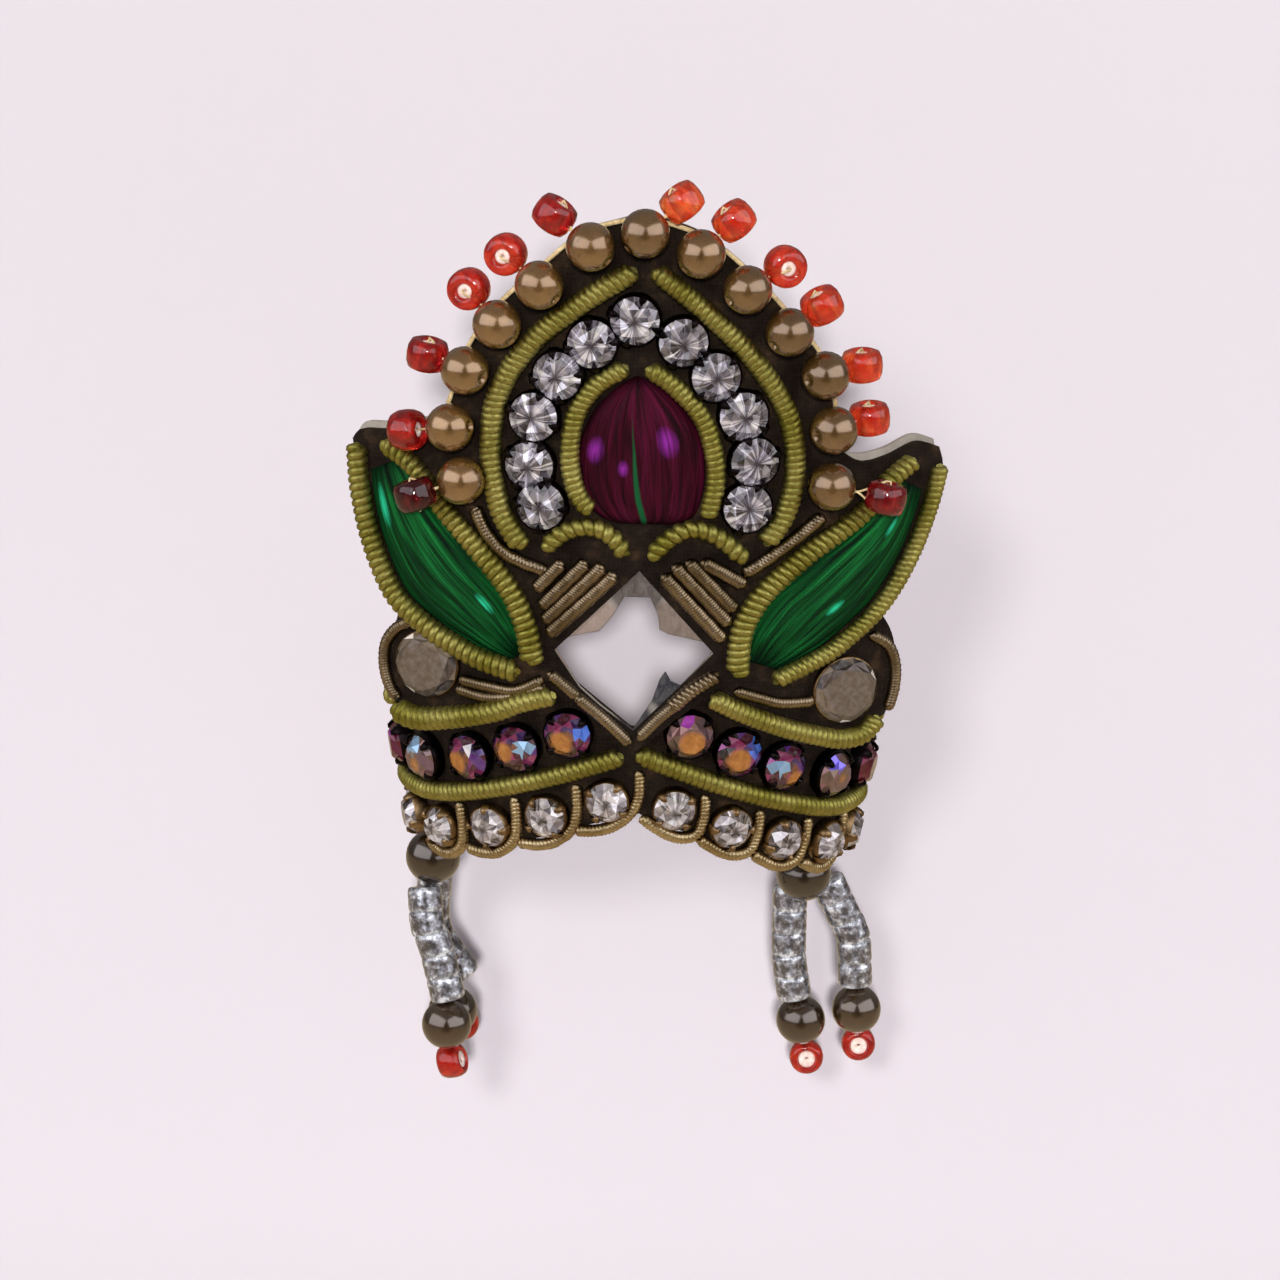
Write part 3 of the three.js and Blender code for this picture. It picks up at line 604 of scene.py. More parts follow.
# ---------------------------------------------------------------- node trees
def add_node(tree, kind, inputs=None, **settings):
    """A node with its settings, and its inputs set to values or linked from sockets."""
    node = tree.nodes.new(kind)
    for key, value in settings.items():
        setattr(node, key, value)
    for socket, value in (inputs or {}).items():
        if isinstance(value, bpy.types.NodeSocket):
            tree.links.new(value, node.inputs[socket])
        else:
            node.inputs[socket].default_value = value
    return node


def new_tree(name, sockets):
    tree = bpy.data.node_groups.new(name, "GeometryNodeTree")
    for label, kind in sockets:
        tree.interface.new_socket(label, in_out="INPUT", socket_type=kind)
    tree.interface.new_socket("Geometry", in_out="OUTPUT", socket_type="NodeSocketGeometry")
    return tree, tree.nodes.new("NodeGroupInput").outputs


def maths(tree, operation, *values, clamp=False):
    return add_node(
        tree, "ShaderNodeMath", dict(enumerate(values)), operation=operation, use_clamp=clamp,
    ).outputs[0]


def vector_maths(tree, operation, inputs):
    return add_node(tree, "ShaderNodeVectorMath", inputs, operation=operation).outputs[0]


def finish_tree(tree, last, finish):
    """Ends a tree: real geometry, in one finish."""
    real = add_node(tree, "GeometryNodeRealizeInstances", {0: last.outputs[0]})
    done = add_node(tree, "GeometryNodeSetMaterial", {
        "Geometry": real.outputs[0], "Material": finish,
    })
    add_node(tree, "NodeGroupOutput", {"Geometry": done.outputs[0]})
    return tree


# How near its ends the wire tucks in, as a share of the pitch, and how round the core is.
END_TUCK = 0.35
CORE_SIDES = 12


def winding_tree():
    """Winds a wire round each path, as close-coiled purl that may widen on its way."""
    tree, given = new_tree("winding", [
        ("Path", "NodeSocketGeometry"),
        ("Start Radius", "NodeSocketFloat"),
        ("End Radius", "NodeSocketFloat"),
        ("Wire Radius", "NodeSocketFloat"),
        ("Turn Pitch", "NodeSocketFloat"),
        ("Points per Turn", "NodeSocketInt"),
        ("Wire Sides", "NodeSocketInt"),
        ("Finish", "NodeSocketMaterial"),
    ])
    pitch, wire = given["Turn Pitch"], given["Wire Radius"]

    def swept(curve, section):
        return add_node(tree, "GeometryNodeCurveToMesh", {
            "Curve": curve, "Profile Curve": section.outputs["Curve"], "Fill Caps": True,
        })

    def away(direction, turn, angle, reach):
        share = maths(tree, "MULTIPLY", maths(tree, turn, angle), reach)
        return vector_maths(tree, "SCALE", {0: direction, "Scale": share})

    line = add_node(tree, "GeometryNodeMeshToCurve", {"Mesh": given["Path"]}).outputs["Curve"]
    step = maths(tree, "DIVIDE", pitch, given["Points per Turn"])
    fine = add_node(
        tree, "GeometryNodeResampleCurve", {"Curve": line, "Length": step}, mode="LENGTH"
    ).outputs["Curve"]
    parameter = add_node(tree, "GeometryNodeSplineParameter").outputs
    length, share = parameter["Length"], parameter["Factor"]
    angle = maths(tree, "MULTIPLY", maths(tree, "DIVIDE", length, pitch), TAU)
    widening = maths(tree, "SUBTRACT", given["End Radius"], given["Start Radius"])
    radius = maths(tree, "MULTIPLY_ADD", widening, share, given["Start Radius"])
    normal = add_node(tree, "GeometryNodeInputNormal").outputs[0]
    tangent = add_node(tree, "GeometryNodeInputTangent").outputs[0]
    side = vector_maths(tree, "CROSS_PRODUCT", {0: tangent, 1: normal})
    # Close to each end the wire runs in to the coil's middle.
    left = maths(tree, "SUBTRACT", 1.0, share)
    ahead = maths(tree, "MULTIPLY", left, maths(tree, "DIVIDE", length, share))
    to_end = maths(tree, "MINIMUM", length, ahead)
    tuck = maths(tree, "DIVIDE", to_end, maths(tree, "MULTIPLY", pitch, END_TUCK), clamp=True)
    reach = maths(tree, "MULTIPLY", maths(tree, "SUBTRACT", radius, wire), tuck)
    outward = away(normal, "COSINE", angle, reach)
    offset = vector_maths(tree, "ADD", {0: outward, 1: away(side, "SINE", angle, reach)})
    wound = add_node(tree, "GeometryNodeSetPosition", {"Geometry": fine, "Offset": offset})
    section = add_node(tree, "GeometryNodeCurvePrimitiveCircle", {
        "Resolution": given["Wire Sides"], "Radius": wire,
    })
    coil = swept(wound.outputs[0], section)
    # A core closes the coil's two ends.
    least = maths(tree, "MINIMUM", given["Start Radius"], given["End Radius"])
    disc = add_node(tree, "GeometryNodeCurvePrimitiveCircle", {
        "Resolution": CORE_SIDES, "Radius": maths(tree, "SUBTRACT", least, wire),
    })
    core = swept(line, disc)
    whole = add_node(tree, "GeometryNodeJoinGeometry", {0: coil.outputs[0]})
    tree.links.new(core.outputs[0], whole.inputs[0])
    return finish_tree(tree, whole, given["Finish"])


def setting_tree():
    """Puts one piece at each place, turned and sized by the place's own attributes."""
    tree, given = new_tree("setting", [
        ("Places", "NodeSocketGeometry"),
        ("Piece", "NodeSocketObject"),
        ("Size", "NodeSocketFloat"),
        ("Finish", "NodeSocketMaterial"),
    ])

    def own(name):
        return add_node(
            tree, "GeometryNodeInputNamedAttribute", {"Name": name}, data_type="FLOAT_VECTOR"
        ).outputs["Attribute"]

    piece = add_node(tree, "GeometryNodeObjectInfo", {"Object": given["Piece"]})
    rotation = add_node(tree, "FunctionNodeEulerToRotation", {0: own("turn")})
    scale = vector_maths(tree, "SCALE", {0: own("stretch"), "Scale": given["Size"]})
    placed = add_node(tree, "GeometryNodeInstanceOnPoints", {
        "Points": given["Places"], "Instance": piece.outputs["Geometry"],
        "Rotation": rotation.outputs[0], "Scale": scale,
    })
    return finish_tree(tree, placed, given["Finish"])


WINDING = winding_tree()
SETTING = setting_tree()


def grown(name, source, tree, values):
    """Runs a tree on a source object and returns the plain mesh it makes as a new piece."""
    modifier = source.modifiers.new(tree.name, "NODES")
    modifier.node_group = tree
    for item in tree.interface.items_tree:
        if item.in_out == "INPUT" and item.name in values:
            modifier[item.identifier] = values[item.name]
    mesh = plain_mesh(source)
    mesh.name = name
    return linked(name, mesh)


def wound(name, paths, radii, pitch, look, wire, per_turn=14, sides=8):
    """Close-coiled wire along paths in millimetres, with its outer radius at their start and
    end. The wire's radius is a share of the pitch: the larger it is, the shallower the grooves."""
    points, edges = [], []
    for path in paths:
        start = len(points)
        points += path
        edges += [(k, k + 1) for k in range(start, len(points) - 1)]
    piece = grown(name, linked(name + "_path", bare_mesh(name, points, edges)), WINDING, {
        "Start Radius": radii[0] * MM,
        "End Radius": radii[1] * MM,
        "Wire Radius": pitch * wire * MM,
        "Turn Pitch": pitch * MM,
        "Points per Turn": per_turn,
        "Wire Sides": sides,
        "Finish": look,
    })
    shade(piece.data, True)
    return piece


def set_pieces(name, model, places, look, tones=None, lights=()):
    """A copy of a mesh at each 4x4 place, in millimetres. Each place passes on its tone and,
    if it has them, its lights."""
    mesh = bare_mesh(name, [place.translation for place in places])
    note(mesh, "turn", "POINT", [tuple(place.to_euler()) for place in places])
    note(mesh, "stretch", "POINT", [tuple(place.to_scale()) for place in places])
    note(mesh, "tone", "POINT", tones or [chance.random() for _ in places])
    for key in ("disc", "patch", "patch_tone") if lights else ():
        note(mesh, key, "POINT", [light[key] for light in lights])
    pattern = linked(name + "_model", model)
    piece = grown(name, linked(name + "_places", mesh), SETTING, {
        "Piece": pattern, "Size": 1.0, "Finish": look,
    })
    bpy.data.objects.remove(pattern)
    return piece


def finished(piece, slot, *nodes, pad=None):
    """Rides the piece on the crown and hides the CAD nodes that it stands for. Its finish is not
    used.
    """
    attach(piece, "root")
    if nodes:
        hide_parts(*nodes)
    return piece


def both(stem):
    return [f"{stem}_{side}" for side in SIDES]


chance = random.Random(7)


# ---------------------------------------------------------------- looks
def tint(code):
    """A linear colour from an sRGB hex code."""
    parts = [int(code[k : k + 2], 16) / 255 for k in (0, 2, 4)]
    linear = [c / 12.92 if c <= 0.04045 else ((c + 0.055) / 1.055) ** 2.4 for c in parts]
    return (*linear, 1.0)


def set_stops(ramp, stops):
    """Sets a colour ramp from (position, colour) pairs. A bare number is a grey."""
    while len(ramp.elements) < len(stops):
        ramp.elements.new(0.5)
    for element, (position, colour) in zip(ramp.elements, stops):
        element.position = position
        element.color = tint(colour) if isinstance(colour, str) else (colour, colour, colour, 1)


class Look:
    """One finish: a Principled shader and the nodes that drive it, in millimetres."""

    def __init__(self, name, **values):
        self.material = bpy.data.materials.new(name)
        self.material.use_nodes = True
        self.tree = self.material.node_tree
        self.shader = next(n for n in self.tree.nodes if n.type == "BSDF_PRINCIPLED")
        for socket, value in values.items():
            self.set(socket.replace("_", " ").title().replace("Ior", "IOR"), value)
        place = add_node(self.tree, "ShaderNodeTexCoord").outputs["Object"]
        self.place = self.vector("SCALE", {0: place, "Scale": 1 / MM})

    def set(self, socket, value):
        target = self.shader.inputs[socket]
        if isinstance(value, bpy.types.NodeSocket):
            self.tree.links.new(value, target)
        else:
            target.default_value = value

    def noise(self, size, detail=3, vector=None, roughness=0.55, distortion=0.0):
        return add_node(self.tree, "ShaderNodeTexNoise", {
            "Vector": vector or self.place, "Scale": 1 / size, "Detail": detail,
            "Roughness": roughness, "Distortion": distortion,
        }).outputs["Fac"]

    def attribute(self, name, output="Fac"):
        return add_node(self.tree, "ShaderNodeAttribute", attribute_name=name).outputs[output]

    def ramp(self, factor, stops, interpolation="LINEAR"):
        node = add_node(self.tree, "ShaderNodeValToRGB", {"Fac": factor})
        node.color_ramp.interpolation = interpolation
        set_stops(node.color_ramp, stops)
        return node.outputs["Color"]

    def mix(self, factor, a, b):
        a, b = (tint(colour) if isinstance(colour, str) else colour for colour in (a, b))
        inputs = {0: factor, 6: a, 7: b}
        return add_node(self.tree, "ShaderNodeMix", inputs, data_type="RGBA").outputs[2]

    def bump(self, height, depth, strength):
        inputs = {"Height": height, "Distance": depth * MM, "Strength": strength}
        self.set("Normal", add_node(self.tree, "ShaderNodeBump", inputs).outputs[0])

    def maths(self, operation, *values, clamp=False):
        return maths(self.tree, operation, *values, clamp=clamp)

    def vector(self, operation, inputs):
        return vector_maths(self.tree, operation, inputs)

    def length(self, vector):
        node = add_node(self.tree, "ShaderNodeVectorMath", {0: vector}, operation="LENGTH")
        return node.outputs["Value"]

    def stretched(self, x, y, z, vector=None):
        return self.vector("MULTIPLY", {0: vector or self.place, 1: (x, y, z)})

    def split(self, vector):
        return list(add_node(self.tree, "ShaderNodeSeparateXYZ", {0: vector}).outputs)

    def joined(self, parts):
        return add_node(self.tree, "ShaderNodeCombineXYZ", parts).outputs[0]

    def uv(self):
        """The piece's own pattern map."""
        return add_node(self.tree, "ShaderNodeUVMap", uv_map="pattern").outputs[0]


def black_cloth():
    look = Look(
        "black_cloth", roughness=0.95, sheen_weight=0.1, sheen_roughness=0.5,
        sheen_tint=tint("7a6a58"), specular_ior_level=0.12,
    )
    pattern = look.uv()
    warp, weft = (
        add_node(
            look.tree, "ShaderNodeTexWave", {"Vector": pattern, "Scale": 1.1, "Distortion": 3.0},
            bands_direction=way,
        ).outputs["Fac"]
        for way in "XY"
    )
    weave = look.maths("MAXIMUM", warp, weft)
    base = look.ramp(look.noise(2.2, 5, roughness=0.65), [
        (0.35, "0d0a08"), (0.55, "1c1611"), (0.72, "3a2c1f"),
    ])
    lint = look.ramp(look.noise(0.2, 2, roughness=0.8), [(0.7, 0.0), (0.8, 0.2)])
    threads = look.mix(look.maths("MULTIPLY", weave, 0.12), base, "30241a")
    look.set("Base Color", look.mix(lint, threads, "8c8172"))
    look.bump(look.maths("ADD", look.maths("MULTIPLY", weave, 0.4), look.noise(0.5, 4)), 0.08, 0.7)
    return look.material


def pale_felt(name, painted_shades=()):
    """Felt. Each painted shade darkens a round patch of the piece's map, from its middle outwards:
    painted shade where the felt lies back in the opening.
    """
    look = Look(
        name, roughness=1.0, sheen_weight=0.12, sheen_roughness=0.6, sheen_tint=tint("d8d2c8"),
        specular_ior_level=0.1,
    )
    fibres = look.noise(0.35, 6, look.stretched(1, 1, 0.45), roughness=0.7, distortion=0.8)
    base = look.ramp(look.noise(5), [(0.35, "8b857b"), (0.65, "a8a298")])
    for across, up, size, colour in painted_shades:
        away = look.length(look.vector("SUBTRACT", {0: look.uv(), 1: (across, up, 0)}))
        near = look.maths("MULTIPLY", look.maths("SUBTRACT", size, away), 1.6, clamp=True)
        base = look.mix(near, base, colour)
    fluff = look.mix(0.3, base, "c4beb2")
    look.set("Base Color", look.mix(look.ramp(fibres, [(0.35, 0.0), (0.75, 0.6)]), base, fluff))
    look.bump(fibres, 0.16, 0.9)
    return look.material


def wire_look(name, light, dark, roughness, grime):
    """A metal wire: its colour drifts along the coil, and dirt sits in the finest texture."""
    look = Look(name, metallic=1.0, anisotropic=0.3)
    base = look.ramp(look.noise(3.2), [(0.32, dark), (0.68, light)])
    specks = look.ramp(look.noise(0.22, 4, roughness=0.7), [(0.36, 1.0), (0.5, 0.0)])
    look.set("Base Color", look.mix(look.maths("MULTIPLY", specks, 0.4), base, grime))
    polish = [(0.3, roughness * 0.8), (0.7, min(roughness * 1.25, 1))]
    look.set("Roughness", look.ramp(look.noise(0.6), polish))
    look.bump(look.noise(0.12), 0.012, 0.4)
    return look.material


def bead_metal(name, light, dark, roughness, metallic):
    """A gilt bead under clear lacquer, worn through in places to a browner metal."""
    look = Look(name, metallic=metallic, coat_weight=1.0, coat_roughness=0.16, coat_ior=1.9)
    tone = look.attribute("tone")
    drift = look.maths("MULTIPLY", look.noise(1.4, 2), 0.6)
    drift = look.maths("ADD", drift, look.maths("MULTIPLY", tone, 0.4))
    base = look.ramp(drift, [(0.25, dark), (0.75, light)])
    worn = look.ramp(look.noise(0.6, 4, roughness=0.6), [(0.6, 0.0), (0.74, 0.4)])
    look.set("Base Color", look.mix(worn, base, "4a3218"))
    polish = [(0.35, roughness * 0.8), (0.75, roughness * 1.6)]
    look.set("Roughness", look.ramp(look.noise(0.5), polish))
    look.bump(look.noise(0.9, 2), 0.012, 0.5)
    return look.material


def red_glass():
    """Red glass, from dark wine to orange by the bead's own tone. Its palest orange end is a
    painted glow of light through the glass.
    """
    look = Look(
        "red_glass", transmission_weight=0.7, ior=1.5, roughness=0.09, coat_weight=0.3,
        coat_roughness=0.05,
    )
    tone = look.attribute("tone")
    drift = look.maths("ADD", look.maths("MULTIPLY_ADD", look.noise(0.7), 0.8, -0.4), tone)
    look.set("Base Color", look.ramp(drift, [
        (0.0, "4a0e16"), (0.3, "96141c"), (0.55, "cc2a1e"), (0.8, "e85028"), (1.0, "ff9a50"),
    ]))
    look.bump(look.noise(0.45, 2), 0.03, 0.4)
    return look.material


def silver_glass():
    """Silver-lined glass: dark round the bead's middle, and bright and speckled at its ends, partly
    the lining and partly painted glints. The bead's own mark runs from 0 at its middle to 1 at its
    ends."""
    look = Look(
        "silver_glass", roughness=0.14, coat_weight=1.0, coat_roughness=0.04, metallic=0.5,
    )
    mark = look.attribute("mark")
    speckle = look.noise(0.5, 4, roughness=0.65)
    where = look.maths("MULTIPLY", mark, 0.6)
    where = look.maths("ADD", where, look.maths("MULTIPLY_ADD", speckle, 3.2, -1.4))
    look.set("Base Color", look.ramp(where, [
        (0.1, "565351"), (0.42, "838288"), (0.7, "a9adb4"), (0.9, "e8eef4"),
    ]))
    look.bump(speckle, 0.05, 0.6)
    return look.material


def stone_look(name, stops, shift, metallic, roughness=0.06, coat=0.6):
    """A foil-backed faceted stone: each facet shows its own colour and its own slant under a clear
    flat top. The facet colours are partly the stone's own and partly painted highlight and painted
    shade. A stone's own tone shifts its colours. Returns the look and its colour."""
    look = Look(
        name, metallic=metallic, roughness=roughness, coat_weight=coat, coat_roughness=0.03,
        coat_ior=1.5,
    )
    own = look.attribute("tone")
    facet = look.attribute("facet_tone")
    tone = look.maths("FRACT", look.maths("ADD", facet, look.maths("MULTIPLY", own, shift)))
    base = look.ramp(tone, stops, "CONSTANT")
    flaw = look.ramp(look.noise(0.4), [(0.35, 0.0), (0.8, 0.15)])
    colour = look.mix(flaw, base, look.mix(0.5, base, "ffffff"))
    look.set("Base Color", colour)
    flat = add_node(look.tree, "ShaderNodeNewGeometry").outputs["Normal"]
    slanted = look.vector("ADD", {0: flat, 1: look.attribute("facet_lean", "Vector")})
    look.set("Normal", look.vector("NORMALIZE", {0: slanted}))
    look.set("Coat Normal", flat)
    return look, colour


def clear_stone(name, painted_streaks, share, middle_shade):
    """Painted highlight streaks run out from the stone's dark middle, which is painted shade."""
    look, base = stone_look(name, [
        (0.0, "f2f2f8"), (0.17, "bdb8c2"), (0.3, "8b868c"), (0.42, "2b2628"), (0.54, "dcd9e0"),
        (0.74, "a29a98"), (0.88, "4a4341"),
    ], 0.43, metallic=0.45)
    local = look.attribute("local", "Vector")
    spoke = look.vector("NORMALIZE", {0: local})
    apart = look.joined({2: look.maths("MULTIPLY", look.attribute("tone"), 40.0)})
    where = look.vector("ADD", {0: look.vector("SCALE", {0: spoke, "Scale": 2.2}), 1: apart})
    painted_streaked = look.ramp(look.noise(1.0, vector=where, roughness=0.75), painted_streaks)
    colour = look.mix(share, base, painted_streaked)
    middle = look.ramp(look.length(local), [(0.08, 0.9), (0.4, 0.0)])
    look.set("Base Color", look.mix(middle, colour, middle_shade))
    return look.material


def violet_stone():
    """Wine and violet facets, with an amber disc deep in the stone and one painted highlight, a
    bright coloured patch.
    """
    look, base = stone_look("violet_stone", [
        (0.0, "7a4a2e"), (0.14, "4c2026"), (0.28, "5a2a78"), (0.42, "7a2c6c"), (0.52, "3a1a5a"),
        (0.64, "8a2c5c"), (0.76, "4a1226"), (0.88, "140a10"),
    ], 0.0, metallic=0.5)
    own = look.attribute("tone")
    dull = look.ramp(own, [(0.0, 0.0), (0.4, 0.7), (0.7, 0.0)], "CONSTANT")
    base = look.mix(dull, base, "7d6656")
    wine = look.ramp(own, [(0.0, 0.0), (0.7, 0.85)], "CONSTANT")
    base = look.mix(wine, base, "5e1022")
    local, facet = look.attribute("local", "Vector"), look.attribute("facet_middle", "Vector")

    def near(place, name, sharp):
        across, up, radius = look.split(look.attribute(name, "Vector"))
        middle = look.joined({0: across, 1: up})
        away = look.length(look.vector("SUBTRACT", {0: place, 1: middle}))
        return look.maths("MULTIPLY", look.maths("SUBTRACT", radius, away), sharp, clamp=True)

    amber = look.ramp(look.noise(0.5), [(0.35, "a26a34"), (0.55, "b67a3e"), (0.75, "c98e52")])
    base = look.mix(near(local, "disc", 5.0), base, amber)
    patch = look.ramp(look.attribute("patch_tone"), [
        (0.0, "5a86f0"), (0.35, "8fb4d4"), (0.6, "7a6af0"), (0.75, "b04ab8"), (0.9, "f4f4ff"),
    ], "CONSTANT")
    look.set("Base Color", look.mix(near(facet, "patch", 30.0), base, patch))
    return look.material


def padded_silk(name, deep, mid, pale, glint, glints, stray=None):
    """Glossy floss laid lengthwise over padding. The pad's map runs along the strands, from 0 to 1
    both ways, and each glint, a painted highlight, is a place on it. The pad darkens towards its
    tips, painted shade. A stray strand has another colour."""
    look = Look(name, roughness=0.45, specular_ior_level=0.12, anisotropic=0.5)
    pattern = look.uv()
    strands = look.noise(1.0, 4, look.stretched(2.6, 34, 1, pattern), distortion=0.5)
    folds = look.noise(1.0, 3, look.stretched(1.4, 11, 1, pattern), distortion=0.8)
    base = look.ramp(folds, [(0.34, deep), (0.5, mid), (0.66, pale), (0.78, mid)])
    colour = look.mix(look.ramp(strands, [(0.38, 0.7), (0.62, 0.0)]), base, deep)
    x, y, _ = look.split(pattern)
    # Painted shade: the colour darkens towards both tips of the pad.
    from_middle = look.maths("ABSOLUTE", look.maths("SUBTRACT", x, 0.5))
    colour = look.mix(look.ramp(from_middle, [(0.36, 0.0), (0.5, 0.85)]), colour, deep)
    if stray:
        width = look.maths("MULTIPLY_ADD", x, 0.055, -0.012)
        middle = look.maths("MULTIPLY_ADD", x, 0.05, stray["across"])
        off = look.maths("ABSOLUTE", look.maths("SUBTRACT", y, middle))
        mask = look.maths("MULTIPLY", look.maths("SUBTRACT", width, off), 60, clamp=True)
        colour = look.mix(mask, colour, stray["colour"])
    shine = None
    for along, across, size in glints:
        away = look.vector("SUBTRACT", {0: pattern, 1: (along, across, 0)})
        reach = look.length(look.vector("MULTIPLY", {0: away, 1: (1 / size, 1 / size, 1)}))
        spot = look.maths("SUBTRACT", 1.0, reach, clamp=True)
        spot = look.maths("MULTIPLY", spot, look.ramp(strands, [(0.35, 0.25), (0.6, 1.0)]))
        shine = look.maths("MAXIMUM", shine, spot) if shine else spot
    shine = look.maths("MULTIPLY", shine, 1.4, clamp=True)
    look.set("Base Color", look.mix(shine, colour, glint))
    look.set("Metallic", look.ramp(strands, [(0.4, 0.0), (0.7, 0.35)]))
    look.bump(look.maths("ADD", look.maths("MULTIPLY", folds, 1.5), strands), 0.2, 0.9)
    return look.material


def cotton_thread(name, light, dark, roughness):
    look = Look(name, roughness=roughness, sheen_weight=0.3)
    look.set("Base Color", look.ramp(look.noise(0.3), [(0.3, dark), (0.7, light)]))
    look.bump(look.noise(0.12), 0.02, 0.6)
    return look.material


CLOTH = black_cloth()
FELT = pale_felt("pale_felt")
# The panel felt's patches are painted shade inside the diamond opening, darkest at its spike and
# foot.
PANEL_FELT = pale_felt("panel_felt", [
    (-3.4, 17.6, 3.2, "8a7a6e"), (2.8, 17.6, 3.2, "6e6056"), (0, 21.3, 2.4, "4c4440"),
    (2.3, 14, 1.9, "191c28"), (0, 11.8, 1.6, "191c28"),
])
LIME_PURL = wire_look("lime_purl", "bcb468", "928c3c", 0.48, "38330f")
OLD_GOLD = wire_look("old_gold", "a39177", "76674e", 0.3, "3a2a1a")
PALE_GOLD = wire_look("pale_gold", "d0bc92", "a48e64", 0.34, "4a3818")
GOLD = bead_metal("polished_gold", "98723e", "6c4e24", 0.22, 0.75)
BRONZE = bead_metal("bronze_gilt", "4e3a22", "2c1f10", 0.15, 0.7)
RED = red_glass()
SILVER_GLASS = silver_glass()
CLAW_METAL = wire_look("claw_metal", "ac9068", "70563a", 0.36, "33241a")
# Near-black cups for the arch and violet stones, for the dark gaps round them.
BLACK_CUP = wire_look("near_black_cup", "2b2426", "0f0c0d", 0.35, "050404")
# The clear stones' pale facets and streaks are painted highlights, and their darks painted shade.
ARCH_CLEAR_STONE = clear_stone(
    "arch_clear_stone", [(0.42, "1c181c"), (0.49, "5a5460"), (0.54, "aca6b6"), (0.6, "ffffff")],
    0.65, "2c262c",
)
RIM_CLEAR_STONE = clear_stone(
    "rim_clear_stone", [(0.4, "2e2620"), (0.48, "6d6058"), (0.55, "b0a49e"), (0.62, "ffffff")],
    0.45, "3c322c",
)
VIOLET_STONE = violet_stone()
# The smoky stone's last, near-white colour is a painted glint.
SMOKE_STONE = stone_look("smoke_stone", [
    (0.0, "594c3f"), (0.2, "665845"), (0.4, "5e5040"), (0.6, "40332a"), (0.8, "1e1713"),
    (0.94, "f4eee6"),
], 0.0, metallic=0.2, roughness=0.3, coat=0.25)[0].material
# Painted glints on each leaf pad: where along and across, and their size.
GREEN_GLINTS = {
    "left": [(0.16, 0.25, 0.1), (0.72, 0.72, 0.06)],
    "right": [(0.2, 0.5, 0.06), (0.62, 0.35, 0.05)],
}
GREEN_SILK = {
    side: padded_silk(
        f"green_silk_{side}", "02150a", "084c1e", "187a38", "28c08c", GREEN_GLINTS[side],
    )
    for side in SIDES
}
MAGENTA_SILK = padded_silk(
    "magenta_silk", "18030a", "40081e", "580f30", "842890",
    [(0.5, 0.14, 0.08), (0.6, 0.36, 0.05), (0.46, 0.72, 0.1)], {"across": 0.42, "colour": "12502c"},
)
PALE_THREAD = cotton_thread("pale_thread", "e2cf9c", "a98f5c", 0.3)
DARK_THREAD = cotton_thread("dark_thread", "2b241e", "0e0b09", 0.75)
# The red beads' holes hold a pale sleeve: painted light for the glow seen in them.
HOLE_GLOW = cotton_thread("painted_hole_glow", "f6e8dc", "d8b8ac", 0.6)

# ---------------------------------------------------------------- band and panel
def band_top(s):
    """The band's upper edge: low behind, up to the panel at the sides, notched in front."""
    reach = abs(s)
    part = min(max((reach - (SIDE_END - 4)) / 11, 0), 1)
    fall = part * part * (3 - 2 * part)
    side = row_height("top", s) * (1 - fall) + BACK_HEIGHT * fall
    return min(side, 10.7 + 0.85 * reach)


def with_map(mesh, coordinates):
    """Adds the map named pattern, in millimetres, from a vertex's own coordinates."""
    layer = mesh.uv_layers.new(name="pattern")
    for loop in mesh.loops:
        layer.data[loop.index].uv = coordinates[loop.vertex_index]


# How the band's upper and lower edges are rounded, from its outside to its inside: the share
# of the wall's depth, and the distance in from the edge.
SOFT_EDGE = 0.32
BAND_EDGE = [
    (0.0, SOFT_EDGE), (0.06, 0.12), (0.25, 0.02), (0.5, 0.0), (0.75, 0.02), (0.94, 0.12),
    (1.0, SOFT_EDGE),
]
# How far the cloth's face swells and sinks.
RIPPLE = 0.05


def band_ring():
    """The band as one closed ring, with soft edges. Returns points, faces, the map and how
    many points its section has."""
    points, flat = [], []
    for c in range(BAND_COLUMNS):
        turn = TAU * (c + 0.5) / BAND_COLUMNS - math.pi
        s = length_at(turn)
        low, high = row_height("cloth", s), band_top(s)
        wall = high - low - 2 * SOFT_EDGE
        ring = [(0.0, low + SOFT_EDGE + wall * r / BAND_ROWS) for r in range(BAND_ROWS)]
        ring += [(depth, high - inset) for depth, inset in BAND_EDGE]
        ring += [(1.0, high - SOFT_EDGE - wall * r / BAND_ROWS) for r in range(1, BAND_ROWS)]
        ring += [(depth, low + inset) for depth, inset in reversed(BAND_EDGE)][:-1]
        for depth, z in ring:
            ripple = RIPPLE * math.sin(1.7 * s + 0.9 * z) * math.sin(0.8 * z + 0.6 * s)
            points.append(on_oval(turn, z, -BOARD * depth + ripple * (1 - depth)))
            flat.append((s + 2 * depth, z))
    around = len(ring)
    faces = []
    for c in range(BAND_COLUMNS):
        here, after = c * around, (c + 1) % BAND_COLUMNS * around
        for r in range(around):
            up = (r + 1) % around
            faces.append((here + r, after + r, after + up, here + up))
    return points, faces, flat, around


def make_band():
    points, faces, flat, around = band_ring()
    mesh = mesh_of("band_cloth", points, faces)
    with_map(mesh, flat)
    mesh.materials.append(CLOTH)
    mesh.materials.append(FELT)
    # The cloth turns over both edges, and felt lines the wall between them.
    lining = range(BAND_ROWS + 5, around - 4)
    for polygon in mesh.polygons:
        polygon.material_index = int(polygon.index % around in lining)
    return finished(linked("band_cloth", mesh), "black_cloth", "crown_band")


